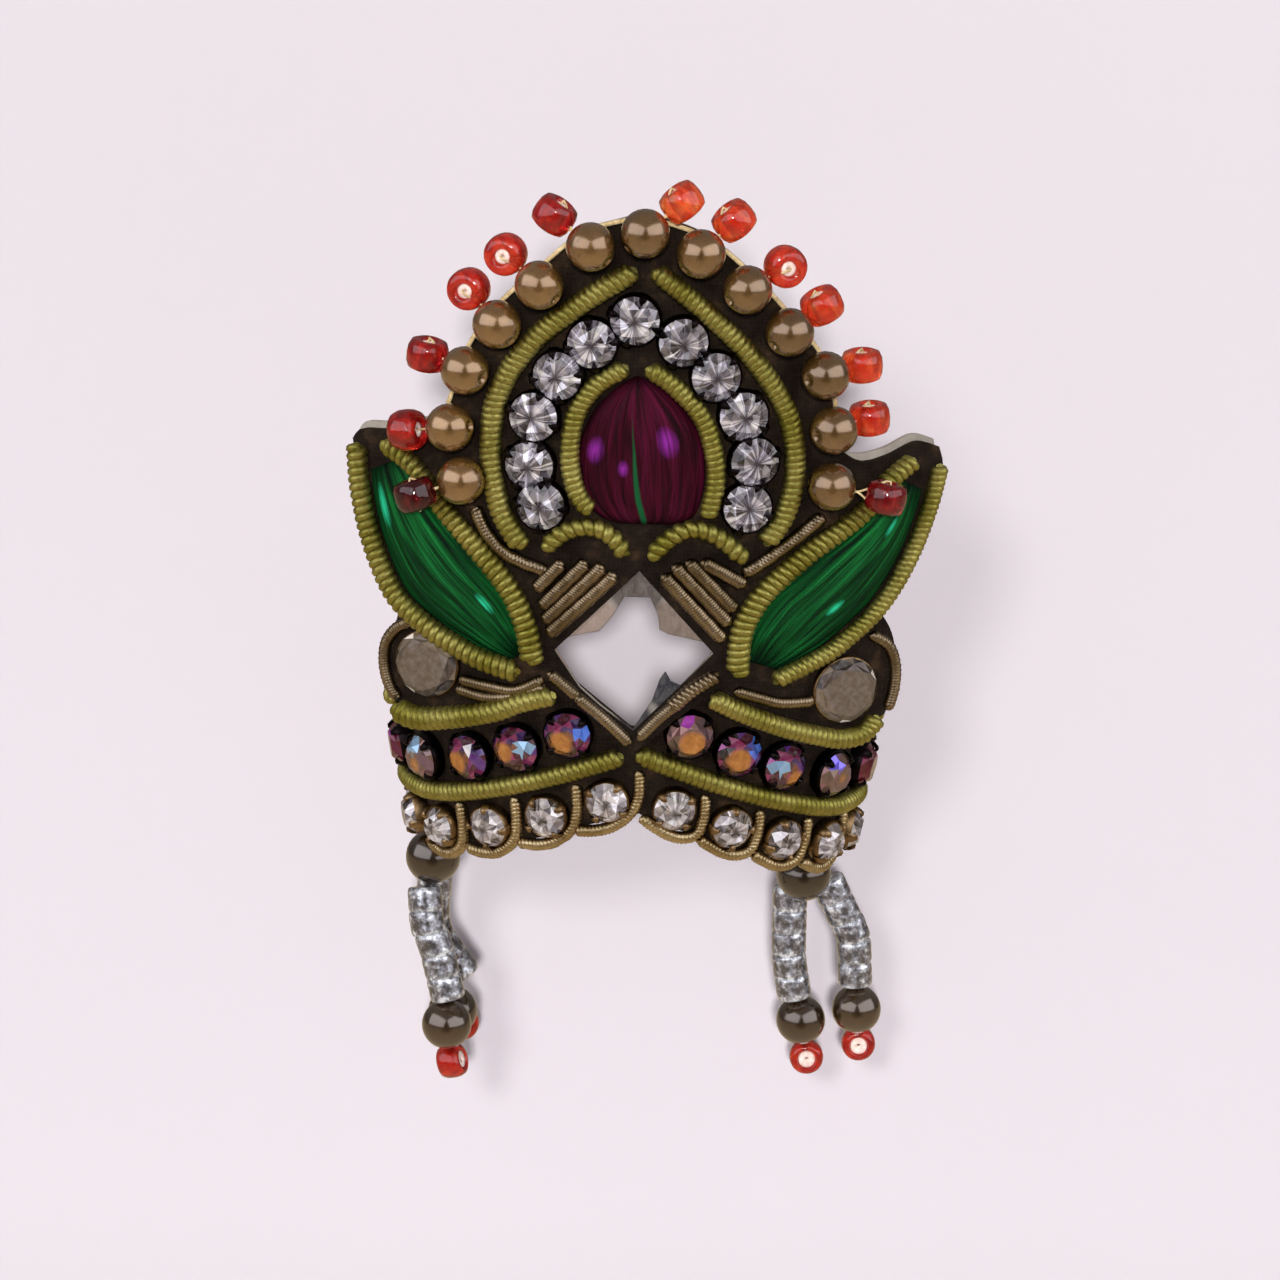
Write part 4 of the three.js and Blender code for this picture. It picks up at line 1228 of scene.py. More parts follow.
def outline_points(stand):
    """The panel's outline from its apex round the right side and back up the left. The stand
    lifts the leaves' top edges."""
    def edges(side):
        lifts = {"leaf_top": stand}
        return [
            [(u, z + lifts.get(name, 0)) for u, z in edge] for name, edge in OUTLINE[side].items()
        ]

    runs, last = [], APEX
    for edge in edges("right"):
        runs.append([last] + edge)
        last = edge[-1]
    runs.append([last, VEE])
    last = VEE
    for edge in reversed(edges("left")):
        back = edge[::-1]
        runs += [[last, back[0]], back]
        last = back[-1]
    runs.append([last, APEX])
    return [point for run in runs for point in smooth_line(run, OUTLINE_SPACING)[:-1]]


def inset(line, distance):
    """A closed line moved to its left, which is inwards where it runs anticlockwise."""
    moved = []
    for k, point in enumerate(line):
        ahead = line[(k + 1) % len(line)] - line[k - 1]
        side = Vector((-ahead.y, ahead.x)).normalized()
        moved.append(point + side * distance)
    return moved


def inside(point, line):
    hit = False
    for k, a in enumerate(line):
        b = line[k - 1]
        if (a.y > point.y) != (b.y > point.y):
            if point.x < (b.x - a.x) * (point.y - a.y) / (b.y - a.y) + a.x:
                hit = not hit
    return hit


def on_board(point, rim_out, rim_in):
    return inside(point, rim_out) and not inside(point, rim_in)


def board_fill(rim_out, rim_in):
    """Points spread evenly over a board, clear of its rims."""
    low_u, high_u = min(p.x for p in rim_out), max(p.x for p in rim_out)
    low_z, high_z = min(p.y for p in rim_out), max(p.y for p in rim_out)
    fill = []
    for i in range(int((high_u - low_u) / BOARD_GRID) + 1):
        for j in range(int((high_z - low_z) / BOARD_GRID) + 1):
            spot = Vector((low_u + BOARD_GRID * (i + 0.5 * (j % 2)), low_z + BOARD_GRID * j))
            clear = min((spot - p).length for p in rim_out + rim_in)
            if clear > BOARD_GRID * 0.45 and on_board(spot, rim_out, rim_in):
                fill.append(spot)
    return fill


def board_mesh(name, outline, hole, top, bottom, soft):
    """A board between two lifts over the panel, with rounded rims at its edge and its hole."""
    outer = list(reversed(outline))
    rim_out, rim_in = inset(outer, soft), inset(hole, -soft)
    n_out, n_in = len(rim_out), len(rim_in)
    edges = [(k, (k + 1) % n_out) for k in range(n_out)]
    edges += [(n_out + k, n_out + (k + 1) % n_in) for k in range(n_in)]
    flat = rim_out + rim_in + board_fill(rim_out, rim_in)
    spots, _, triangles, *_ = delaunay_2d_cdt(flat, edges, [], 0, 1e-6)
    keep = []
    for tri in triangles:
        middle = sum((spots[k] for k in tri), Vector((0, 0))) / len(tri)
        if on_board(middle, rim_out, rim_in):
            keep.append(tuple(tri))
    back = len(spots)
    points = [on_panel(p.x, p.y, lift) for lift in (top, bottom) for p in spots]
    maps = [tuple(p) for p in spots] * 2
    faces = keep + [tuple(back + k for k in reversed(tri)) for tri in keep]
    # Each rim's rounding: the share of its width, and the lift.
    rounding = (
        (0.3, top - soft * 0.35), (0.0, top - soft), (0.0, bottom + soft),
        (0.3, bottom + soft * 0.35),
    )
    for full, count, start, sign in ((outer, n_out, 0, 1), (hole, n_in, n_out, -1)):
        rings = [range(start, start + count)]
        for part, lift in rounding:
            line = inset(full, sign * soft * part)
            rings.append(range(len(points), len(points) + count))
            points += [on_panel(p.x, p.y, lift) for p in line]
            maps += [tuple(p) for p in line]
        rings.append(range(back + start, back + start + count))
        for a, b in zip(rings, rings[1:]):
            for k in range(count):
                after = (k + 1) % count
                faces.append((a[k], b[k], b[after], a[after])[::sign])
    mesh = mesh_of(name, points, faces)
    with_map(mesh, maps)
    return tidy(mesh, 60)


def cut_hole(corners):
    line = []
    for corner, after in zip(corners, corners[1:] + corners[:1]):
        a, b = Vector(corner), Vector(after)
        count = max(1, round((b - a).length / LINE_SPACING))
        line += [a.lerp(b, j / count) for j in range(count)]
    return line


def make_panel():
    middle = -(BOARD - LINING)
    for name, stand, hole, top, bottom, soft, look, nodes in (
        ("panel_cloth", 0, DIAMOND, 0, middle, 0.16, CLOTH, ["front_panel"]),
        ("panel_felt", LINING_STAND, LINING_HOLE, middle, -BOARD, 0.14, PANEL_FELT, []),
    ):
        board = board_mesh(name, outline_points(stand), cut_hole(hole), top, bottom, soft)
        board.materials.append(look)
        finished(linked(name, board), "black_cloth", *nodes)


# ---------------------------------------------------------------- coiled wire
BAND_COILS = {
    "upper": {"radius": 0.86, "pitch": 0.49, "left": -21.5, "right": 21.5, "end": SIDE_END},
    "lower": {
        "radius": 0.74, "pitch": 0.46, "left": -0.95, "right": 0.4, "end": BAND_HALF_LENGTH - 0.8,
    },
}
# The wire's radius as a share of its pitch: on the band, and on the panel where the coil is
# loose or tight.
BAND_WIRE = 0.76
LOOSE_WIRE = 0.6
TIGHT_WIRE = 0.78
LOOSE_PITCH = 0.5
# The same for fine purl, whose wire also has fewer points and sides.
FINE_WIRE = 1.5
COLLAR_WIRE = 0.7
SCALLOP_WIRE = 1.1
FINE_STEPS = {"per_turn": 9, "sides": 6}


def make_coils():
    for name, coils in PANEL_COILS.items():
        for side, coil in coils.items():
            start, end = coil["radius"]
            line = smooth_line(coil["line"])
            lifts = [CLEAR + start + (end - start) * k / (len(line) - 1) for k in range(len(line))]
            path = [on_panel(p.x, p.y, lift) for p, lift in zip(line, lifts)]
            wire = LOOSE_WIRE if coil["pitch"] >= LOOSE_PITCH else TIGHT_WIRE
            node = f"{name}_{side}"
            piece = wound(node + "_wire", [path], coil["radius"], coil["pitch"], LIME_PURL, wire)
            finished(piece, "lime_purl", node)
    for row, coil in BAND_COILS.items():
        radius = coil["radius"]
        for side in SIDES:
            end = math.copysign(coil["end"], coil[side])
            path = band_line(row, coil[side], end, radius + CLEAR)
            node = f"band_{row}_coil_{side}"
            radii = (radius, radius)
            piece = wound(node + "_wire", [path], radii, coil["pitch"], LIME_PURL, BAND_WIRE)
            finished(piece, "lime_purl", node)


def make_fine_tubes():
    for name, tube in FINE_TUBES.items():
        radius = tube["radius"]
        for side in SIDES:
            paths = [laid(on_panel, line, radius + CLEAR) for line in tube[side]]
            node = f"{name}_{side}"
            radii = (radius, radius)
            piece = wound(
                node + "_wire", paths, radii, tube["pitch"], OLD_GOLD, FINE_WIRE, **FINE_STEPS,
            )
            finished(piece, "old_gold", node)
    radii = VEE_COLLAR["radii"]
    path = laid(on_panel, VEE_COLLAR["line"], radii[0] + CLEAR)
    collar = wound(
        "vee_collar", [path], radii, VEE_COLLAR["pitch"], OLD_GOLD, COLLAR_WIRE, per_turn=12,
    )
    finished(collar, "old_gold")
    paths, radius = [], SCALLOP["radius"]
    for s in CLEAR_STONES:
        if abs(s) < SCALLOP["reach"]:
            line = [
                (s + along, row_height("clear", s + along) + up) for along, up in SCALLOP["line"]
            ]
            paths.append(laid(on_band, line, radius + CLEAR))
    radii = (radius, radius)
    scallops = wound(
        "rim_scallops", paths, radii, SCALLOP["pitch"], PALE_GOLD, SCALLOP_WIRE, **FINE_STEPS,
    )
    finished(scallops, "old_gold")


# ---------------------------------------------------------------- stones
# A facet's tone picks its colour in the stone's own range. Each list goes round the stone.
# On the clear stones these tones pick painted highlights and painted shade.
CLEAR_TONES = {
    "heart": [0.0, 0.45, 0.7, 0.1, 0.5, 0.05, 0.85, 0.3],
    "table": [0.3, 0.05, 0.52, 0.68, 0.2, 0.9, 0.0, 0.5],
    "star": [0.55, 0.65, 0.0, 0.35, 0.92, 0.1, 0.5, 0.7],
    "kite": [0.1, 0.5, 0.3, 0.0, 0.62, 0.45, 0.2, 0.95],
    "edge": [0.5, 0.3, 0.9, 0.4, 0.55, 0.8, 0.45, 0.3],
}
VIOLET_TONES = {
    "heart": [0.1, 0.2, 0.1, 0.8, 0.1, 0.7, 0.2, 0.1],
    "table": [0.35, 0.56, 0.7, 0.7, 0.2, 0.2, 0.8, 0.45],
    "star": [0.33, 0.7, 0.7, 0.92, 0.2, 0.8, 0.2, 0.8],
    "kite": [0.33, 0.56, 0.8, 0.7, 0.92, 0.2, 0.8, 0.7],
    "edge": [0.8, 0.7, 0.35, 0.6, 0.82, 0.92, 0.45, 0.7],
}
# On the smoky stones the darkest facets are painted shade, and a tone of 0.95 gives one white
# facet, a painted glint.
SMOKE_TONES = {
    "heart": [0.1] * 8,
    "table": [0.1] * 8,
    "star": [0.1, 0.3, 0.1, 0.1, 0.3, 0.3, 0.7, 0.7],
    "kite": [0.7, 0.3, 0.1, 0.3, 0.5, 0.3, 0.7, 0.9],
    "edge": [0.9, 0.5, 0.3, 0.3, 0.5, 0.95, 0.9, 0.9],
}

# A faceted stone stands on a cup a little wider than its own seat; all but the smoky ones have
# their widest part and their flat top at these heights.
CUP_SHARE = 1.03
CUP_HEIGHT = 0.95
GIRDLE = 0.92
TABLE = 1.62


def cut_stone(name, radius, girdle, table, tones, lean, wide=0.6, heart_share=0.3, seed=3):
    """The crown of a brilliant-cut stone: a fanned table, kites and girdle facets. Each
    facet carries a tone and a slant."""
    slant = random.Random(seed)
    points = [Vector((0, 0, table))]

    def ring(count, share, height, offset):
        start = len(points)
        for k in range(count):
            turn = TAU * (k + offset) / count
            across, up = share * math.cos(turn), share * math.sin(turn)
            points.append(Vector((radius * across, radius * up, height)))
        return range(start, start + count)

    heart = ring(8, heart_share, table, 0.5)
    top = ring(8, wide, table, 0)
    middle = ring(8, (1 + wide) / 2, girdle + (table - girdle) * 0.5, 0.5)
    rim = ring(16, 1, girdle, 0)
    base = ring(16, 1, girdle - 0.25, 0)
    faces, kept = [], []

    def facet(role, k, *corners):
        faces.append(corners)
        kept.append(tones[role][k % 8])

    for k in range(8):
        after = (k + 1) % 8
        facet("heart", k, 0, heart[k], heart[after])
        facet("table", k, heart[k], top[after], heart[after])
        facet("table", k, heart[k], top[k], top[after])
        facet("star", k, top[k], middle[k], top[after])
        facet("kite", k, middle[k - 1], rim[2 * k], middle[k], top[k])
        facet("edge", k, middle[k], rim[2 * k], rim[2 * k + 1])
        facet("edge", k + 3, middle[k], rim[2 * k + 1], rim[(2 * k + 2) % 16])
    for k in range(16):
        after = (k + 1) % 16
        facet("edge", k, rim[k], base[k], base[after], rim[after])
    facet("edge", 0, *reversed(base))
    # Facets of one tone that meet at one corner lean the same way.
    slants = {}
    for tone, face in zip(kept, faces):
        slants.setdefault((tone, face[0]), tuple(slant.uniform(-lean, lean) for _ in range(3)))
    leans = [slants[tone, face[0]] for tone, face in zip(kept, faces)]
    flat = [Vector((p.x, p.y, 0)) / radius for p in points]
    middles = [tuple(sum((flat[k] for k in face), Vector()) / len(face)) for face in faces]
    mesh = mesh_of(name, points, faces, smooth=False)
    note(mesh, "facet_tone", "FACE", kept)
    note(mesh, "facet_lean", "FACE", leans)
    note(mesh, "local", "POINT", [tuple(p) for p in flat])
    note(mesh, "facet_middle", "FACE", middles)
    return mesh


CLAWS = 4


def claw_cup(name, radius, height):
    """A stone's open cup: a thin turned wall and claws bent over the stone."""
    wall = [
        (radius * 0.82, 0), (radius * 0.97, 0.02), (radius, 0.12), (radius, height - 0.1),
        (radius * 0.95, height), (radius * 0.88, height - 0.04), (radius * 0.82, 0.3),
    ]
    # A claw from its root to its tip: the share of the cup's radius, its height, half its width.
    claw = (
        (1.0, height * 0.5, 0.4), (1.05, height * 0.85, 0.38), (1.0, height + 0.2, 0.32),
        (0.86, height + 0.45, 0.22), (0.74, height + 0.46, 0.1),
    )
    # Its flat six-sided section, as shares of that half width and of its thickness.
    section = ((-1, 0), (-0.6, 1), (0.6, 1), (1, 0), (0.6, -1), (-0.6, -1))
    cup = bmesh.new()
    cup.from_mesh(lathe(name, wall, 24, closed=True))
    for k in range(CLAWS):
        turn = TAU * (k + 0.5) / CLAWS
        out = Vector((math.cos(turn), math.sin(turn), 0))
        side = Vector((-math.sin(turn), math.cos(turn), 0))
        rings = []
        for reach, z, half in claw:
            middle = out * radius * reach + Vector((0, 0, z))
            thick = out * 0.1 + Vector((0, 0, 0.1 if reach < 1 else 0))
            rings.append(
                [cup.verts.new((middle + side * half * a + thick * b) * MM) for a, b in section]
            )
        for a, b in zip(rings, rings[1:]):
            for j in range(6):
                cup.faces.new((a[j], a[(j + 1) % 6], b[(j + 1) % 6], b[j]))
        cup.faces.new(rings[0])
        cup.faces.new(rings[-1])
    mesh = bpy.data.meshes.new(name)
    bmesh.ops.recalc_face_normals(cup, faces=cup.faces)
    cup.to_mesh(mesh)
    cup.free()
    shade(mesh, True)
    mesh.set_sharp_from_angle(angle=math.radians(50))
    return mesh


def stone_frames(surface, places, spins, tilt=4):
    """A frame for each stone on a surface, spun about its own middle and a little tilted."""
    frames = []
    for (u, z), spin in zip(places, spins):
        lean = Matrix.Rotation(math.radians(chance.uniform(-tilt, tilt)), 4, "X")
        frames.append(frame_on(surface, u, z, CLEAR) @ Matrix.Rotation(spin, 4, "Z") @ lean)
    return frames


def make_clear_stones():
    rim_places = [(s, row_height("clear", s)) for s in CLEAR_STONES]
    for name, radius, surface, places, metal, look in (
        ("arch_stones", ARCH_CUP, on_panel, ARCH_STONES, BLACK_CUP, ARCH_CLEAR_STONE),
        ("rim_stones", RIM_CUP, on_band, rim_places, CLAW_METAL, RIM_CLEAR_STONE),
    ):
        frames = stone_frames(surface, places, [chance.uniform(0, TAU) for _ in places])
        cup = claw_cup("cup", radius * CUP_SHARE, CUP_HEIGHT)
        finished(set_pieces(name + "_cups", cup, frames, metal), "old_gold")
        crown = cut_stone("clear_crown", radius * 0.96, GIRDLE, TABLE, CLEAR_TONES, lean=0.35)
        crowns = set_pieces(name + "_crowns", crown, frames, look)
        finished(crowns, "clear_stone", *both(name))


def make_violet_stones():
    places = [(s, row_height("violet", s)) for side in SIDES for s in VIOLET_STONES[side]]
    lights = [light for side in SIDES for light in VIOLET_LIGHTS[side]]
    frames = stone_frames(on_band, places, [chance.uniform(-0.3, 0.3) for _ in places])
    square = stone_frames(on_band, places, [0] * len(places), tilt=0)
    cup = claw_cup("black_cup", VIOLET_CUP * CUP_SHARE, CUP_HEIGHT)
    finished(set_pieces("violet_stone_cups", cup, square, BLACK_CUP), "violet_stone")
    crown = cut_stone(
        "violet_crown", VIOLET_CUP * 0.97, GIRDLE, TABLE, VIOLET_TONES, lean=0.16,
        heart_share=0.4, seed=5,
    )
    tones = [light["tone"] for light in lights]
    crowns = set_pieces("violet_stone_crowns", crown, frames, VIOLET_STONE, tones, lights)
    finished(crowns, "violet_stone", *both("violet_stones"))


def make_round_stones():
    radius, height = ROUND_STONE["radius"], ROUND_STONE["height"]
    frames = [
        frame_on(on_panel, *ROUND_STONES[side], CLEAR) @ Matrix.Rotation(ROUND_TURNS[side], 4, "Z")
        for side in SIDES
    ]
    crown = cut_stone(
        "round_crown", radius * 0.97, height * 0.5, height, SMOKE_TONES, lean=0.05, wide=0.74,
    )
    crowns = set_pieces("round_stone_crowns", crown, frames, SMOKE_STONE)
    finished(crowns, "smoke_stone", *both("round_stone"))
    seat = lathe("seat", [
        (0, 0), (radius * 0.95, 0), (radius, 0.15), (radius, height * 0.42),
        (radius * 0.94, height * 0.46), (0, height * 0.3),
    ], 32)
    finished(set_pieces("round_stone_seats", seat, frames, CLAW_METAL), "smoke_stone")


# ---------------------------------------------------------------- silk pads
PAD_FILL = 0.8


def cushion(name, spot, look, along, across, height, folds, seed):
    """A domed pad. spot(a, b) gives (u, z) for a along the strands and b across them."""
    spin = random.Random(seed)
    waves = [(spin.uniform(2, 9), spin.uniform(0, TAU), spin.uniform(0.3, 1)) for _ in range(6)]
    points, maps = [], []

    def add(a, b, lift):
        points.append(on_panel(*spot(a, b), lift))
        maps.append((a, b))

    for i in range(along + 1):
        a = i / along
        taper = math.sin(math.pi * min(max(a, 0.002), 0.998)) ** 0.5
        for j in range(across + 1):
            b = j / across
            dome = max(0.0, 1 - (2 * b - 1) ** 2) ** 0.5 * taper
            ripple = sum(w * math.sin(f * TAU * b + p + 2.5 * a) for f, p, w in waves) / 6
            add(a, b, CLEAR + 0.04 + height * dome + folds * ripple * dome)
    row = across + 1
    faces = [
        (i * row + j, (i + 1) * row + j, (i + 1) * row + j + 1, i * row + j + 1)
        for i in range(along) for j in range(across)
    ]
    # The pad's flat underside, and the walls up to it.
    under = len(points)
    for i in range(along + 1):
        for b in (0.0, 1.0):
            add(i / along, b, CLEAR)
    for i in range(along):
        l0, r0, l1, r1 = range(under + 2 * i, under + 2 * i + 4)
        left, right = (i * row, (i + 1) * row), (i * row + across, (i + 1) * row + across)
        faces += [(l0, r0, r1, l1), (left[0], l0, l1, left[1]), (right[0], right[1], r1, r0)]
    last = along * row
    faces.append((*range(row), under + 1, under))
    faces.append((*range(last + across, last - 1, -1), under + 2 * along, under + 2 * along + 1))
    mesh = mesh_of(name, points, faces)
    with_map(mesh, maps)
    tidy(mesh, 70)
    mesh.materials.append(look)
    return linked(name, mesh)


def leaf_spot(side):
    """Places between a leaf's two coils."""
    outer, inner = (
        smooth_line(PANEL_COILS[f"leaf_{coil}_coil"][side]["line"], 0.12)
        for coil in ("outer", "inner")
    )

    def spot(a, b):
        part = LEAF_PAD["top"] + (LEAF_PAD["foot"] - LEAF_PAD["top"]) * a
        first = outer[round(part * (len(outer) - 1))]
        second = inner[round(part * (len(inner) - 1))]
        tuck = min(LEAF_PAD["edge"] / (second - first).length, 0.49)
        return first.lerp(second, tuck + (1 - 2 * tuck) * b)

    return spot


def arch_spot():
    """Places between the arch pad's two edges."""
    left, right = (smooth_line([(row[side], row["z"]) for row in ARCH_PAD], 0.1) for side in SIDES)

    def spot(a, b):
        return left[round(a * (len(left) - 1))].lerp(right[round(a * (len(right) - 1))], b)

    return spot


def make_pads():
    for side in SIDES:
        piece = cushion(
            f"leaf_silk_{side}", leaf_spot(side), GREEN_SILK[side], along=100, across=44,
            height=LEAF_PAD["height"], folds=0.2, seed=21,
        )
        finished(piece, "green_silk", f"leaf_pad_{side}", pad=PAD_FILL)
    piece = cushion(
        "arch_silk", arch_spot(), MAGENTA_SILK, along=90, across=50, height=ARCH_PAD_HEIGHT,
        folds=0.22, seed=8,
    )
    finished(piece, "magenta_silk", "arch_pad", pad=PAD_FILL)


# ---------------------------------------------------------------- beads
BALL_STEPS = 14


def ball_profile(radius, bore):
    """A drilled round bead, as a closed profile."""
    edge = math.asin(bore / radius)
    arc = [edge + (math.pi - 2 * edge) * k / BALL_STEPS for k in range(BALL_STEPS + 1)]
    outside = [(radius * math.sin(a), -radius * math.cos(a)) for a in arc]
    return outside + [(bore, radius * 0.5), (bore, 0), (bore, -radius * 0.5)]


def mirrored(half, middle):
    """A bead's whole profile from its half below the middle, whose heights are shares."""
    return [(r, -h) for r, h in half] + [middle] + [(r, h) for r, h in reversed(half)]


def barrel_profile(radius, length, bore):
    """A seed bead: a short barrel with round shoulders and a hole."""
    half = [
        (bore, 0.8), (bore + 0.12, 0.96), (max(radius * 0.62, bore + 0.16), 1),
        (radius * 0.86, 0.86), (radius * 0.97, 0.5),
    ]
    return [(r, h * length / 2) for r, h in mirrored(half, (radius, 0))]


def tube_bead_profile(radius, length, bore):
    """A small glass bead with flat ends and barely rounded shoulders."""
    half = [
        (bore, 0.9), (bore + 0.1, 1), (radius * 0.84, 1), (radius * 0.94, 0.92),
        (radius * 0.99, 0.7), (radius, 0.35),
    ]
    return [(r, h * length / 2) for r, h in mirrored(half, (radius * 0.98, 0))]


def glow_sleeve(bead, share):
    """A pale sleeve in a red bead's hole, along a share of the bead: painted light for the pale
    glow that shows in the hole.
    """
    outer, half = bead["bore"] - 0.02, bead["length"] * share / 2
    inner = outer * 0.3
    return [(outer, -half), (outer, half), (inner, half), (inner, -half)]


def bead_set(name, profile, sides, places, look, nodes=(), tones=None):
    """Gold or red beads of one kind, one at each place."""
    bead = lathe(name + "_bead", profile, sides, closed=True)
    finished(set_pieces(name, bead, places, look, tones), "gold_bead", *nodes)


def picot(row):
    """The places of a picot's gold and red beads, and the way that the red one's hole runs."""
    gold = on_panel(*row["gold"], GOLD_BEAD + PICOT_STAND)
    red = on_panel(*row["red"], row["lift"])
    out = (red - gold).normalized()
    front = frame_on(on_panel, *row["red"], 0).col[2].xyz
    ways = {"front": front, "out": out, "along": out.cross(front).normalized()}
    return gold, red, ways[row["hole"]]


def make_picots():
    gold_frames, red_frames = [], []
    for row in PICOTS:
        gold, red, axis = picot(row)
        gold_frames.append(facing(red - gold, gold, chance.uniform(0, TAU)))
        red_frames.append(facing(axis, red, chance.uniform(0, TAU)))
    nodes = [f"picot_{k + 1}" for k in range(len(PICOTS))]
    tones = [row["tone"] for row in PICOTS]
    ball, barrel = ball_profile(GOLD_BEAD, GOLD_BORE), barrel_profile(**RED_BEAD)
    bead_set("edge_gold_beads", ball, 32, gold_frames, GOLD, nodes)
    bead_set("edge_red_beads", barrel, 28, red_frames, RED, tones=tones)
    bead_set("edge_red_bead_holes", glow_sleeve(RED_BEAD, 0.8), 20, red_frames, HOLE_GLOW)


def make_drops():
    balls, tips, reds, silver, names = [], [], [], [], []
    for drop in DROPS:
        balls.append(facing(BALL_HOLE, Vector(drop["ball"]), chance.uniform(0, TAU)))
        for string in drop["strings"]:
            names.append(f"{drop['side']}_{string['name']}")
            end, red = Vector(string["end"]), Vector(string["red"])
            tips.append(facing(Vector(string["path"][-1]) - end, end, chance.uniform(0, TAU)))
            reds.append(facing(DROP_HOLES[string["hole"]], red, chance.uniform(0, TAU)))
            line = smooth_line(string["path"], 0.05)
            for k in range(STRING_BEADS):
                at = round((len(line) - 1) * k / (STRING_BEADS - 1))
                ahead = line[min(at + 4, len(line) - 1)] - line[max(at - 4, 0)]
                silver.append(facing(ahead, line[at], chance.uniform(0, TAU)))
    top, tip = (ball_profile(radius, BALL_BORE) for radius in (DROP_BALL, END_BALL))
    bead_set("drop_top_balls", top, 36, balls, BRONZE, both("drop_ball"))
    bead_set("drop_end_balls", tip, 36, tips, BRONZE, [f"drop_tip_{name}" for name in names])
    tones = [DROP_RED_TONE] * len(reds)
    bead_set("drop_red_beads", barrel_profile(**DROP_RED), 28, reds, RED, tones=tones)
    bead_set("drop_red_bead_holes", glow_sleeve(DROP_RED, 0.85), 20, reds, HOLE_GLOW)
    length = SILVER_BEAD["length"] * SILVER_OVERLAP
    profile = tube_bead_profile(SILVER_BEAD["radius"], length, SILVER_BEAD["bore"])
    glass = lathe("silver_bead", profile, 18, closed=True)
    note(glass, "mark", "POINT", [abs(v.co.z) * 2 / (length * MM) for v in glass.vertices])
    beads = set_pieces("drop_silver_beads", glass, silver, SILVER_GLASS)
    finished(beads, "silver_glass", *(f"bead_string_{name}" for name in names))


# ---------------------------------------------------------------- threads
def cord_mesh(name, paths, radius, look):
    """Plain thread along paths, as one mesh of capped tubes."""
    data = bpy.data.curves.new(name, "CURVE")
    data.dimensions = "3D"
    data.bevel_depth = radius * MM
    data.bevel_resolution = 1
    data.use_fill_caps = True
    for path in paths:
        spline = data.splines.new("POLY")
        spline.points.add(len(path) - 1)
        for point, place in zip(spline.points, path):
            point.co = (*(place * MM), 1)
    mesh = plain_mesh(linked(name + "_curve", data))
    mesh.materials.clear()
    mesh.materials.append(look)
    return linked(name, mesh)


def picot_loops():
    """A thread from the arch's edge through each gold bead, round both sides of its red one."""
    paths = []
    for row in PICOTS:
        gold, red, axis = picot(row)
        side = axis * (RED_BEAD["length"] / 2 + 0.12)
        foot = on_panel(row["gold"][0] * 0.97, row["gold"][1] - 0.4, 0.1)
        pole = gold + (red - gold).normalized() * (GOLD_BEAD + 0.1)
        paths += [smooth_line([foot, gold, pole, red + side * sign, red]) for sign in (-1, 1)]
    return paths


def arch_edge():
    """The wire behind the picots, just inside the arch's edge."""
    paths = []
    for side in SIDES:
        edge = [(APEX[0], APEX[1] - 0.2)]
        edge += [(u * 0.985, z - 0.15) for u, z in OUTLINE[side]["arch"]]
        paths.append([on_panel(p.x, p.y, 0.3) for p in smooth_line(edge, THREAD_SPACING)])
    return paths


def drop_lines():
    """A thread from each drop's top ball down its string to the red bead."""
    paths = []
    for drop in DROPS:
        for string in drop["strings"]:
            start = Vector(drop["ball"]).lerp(Vector(string["path"][0]), 0.3)
            line = smooth_line(string["path"], THREAD_SPACING)
            paths.append([start, *line, Vector(string["end"]), Vector(string["red"])])
    return paths


def make_threads():
    for name, paths, radius, look, slot in (
        ("picot_threads", picot_loops(), PICOT_THREAD, PALE_THREAD, "gold_bead"),
        ("arch_edge_wire", arch_edge(), EDGE_WIRE, PALE_THREAD, "gold_bead"),
        ("drop_threads", drop_lines(), DROP_THREAD, DARK_THREAD, "silver_glass"),
    ):
        finished(cord_mesh(name, paths, radius, look), slot)


make_band()
make_panel()
make_coils()
make_fine_tubes()
make_clear_stones()
make_violet_stones()
make_round_stones()
make_pads()
make_picots()
make_drops()
make_threads()

# ---------------------------------------------------------------- studio
VIEW = {
    "elevation": 13, "roll": 1.3, "distance": 300, "target": (0.25, 0, 14.52), "width": 91.43,
    "sensor": 36, "near": 0.01, "far": 20,
}
# The paper's section, front to back: a floor that sweeps up into a backdrop which leans back.
SWEEP = [
    (-4000, -60), (-200, -60), (-60, -59), (-20, -55), (-2, -46), (3.6, -38), (5.8, -30), (14.8, 9),
    (1060, 4500),
]
SWEEP_SIDE = 4000
# Two broad windows that only the crown's gloss shows, and two suns that only light it.
WINDOW = {"size": (2500, 1200), "distance": 1500, "elevation": 24, "power": 15, "aim": (0, -6, 16)}
WINDOWS = [
    {"name": "window_left", "azimuth": -50, "colour": "f6f6ff"},
    {"name": "window_right", "azimuth": 53, "colour": "f8f8ff"},
]
SUNS = [
    {
        "name": "front_fill", "aim": (0, 0.974, -0.225), "strength": 2.9, "size": 5,
        "colour": "fffafb",
    },
    {"name": "soft_key", "aim": (0.25, 0.9, -0.4), "strength": 1.0, "size": 12, "colour": "fffdfb"},
]
# The surroundings' colour from straight below to overhead, and their strength: the least one
# straight in front, the rest added away from there.
WORLD_STOPS = [
    (0.0, "f4dcb8"), (0.42, "ccb698"), (0.5, "6e6660"), (0.6, "8c8480"), (0.85, "a09a98"),
]
WORLD_LEAST = 0.15
WORLD_REST = 0.5
FRONT_EDGE = 0.97
FRONT_SHARPNESS = 8.0


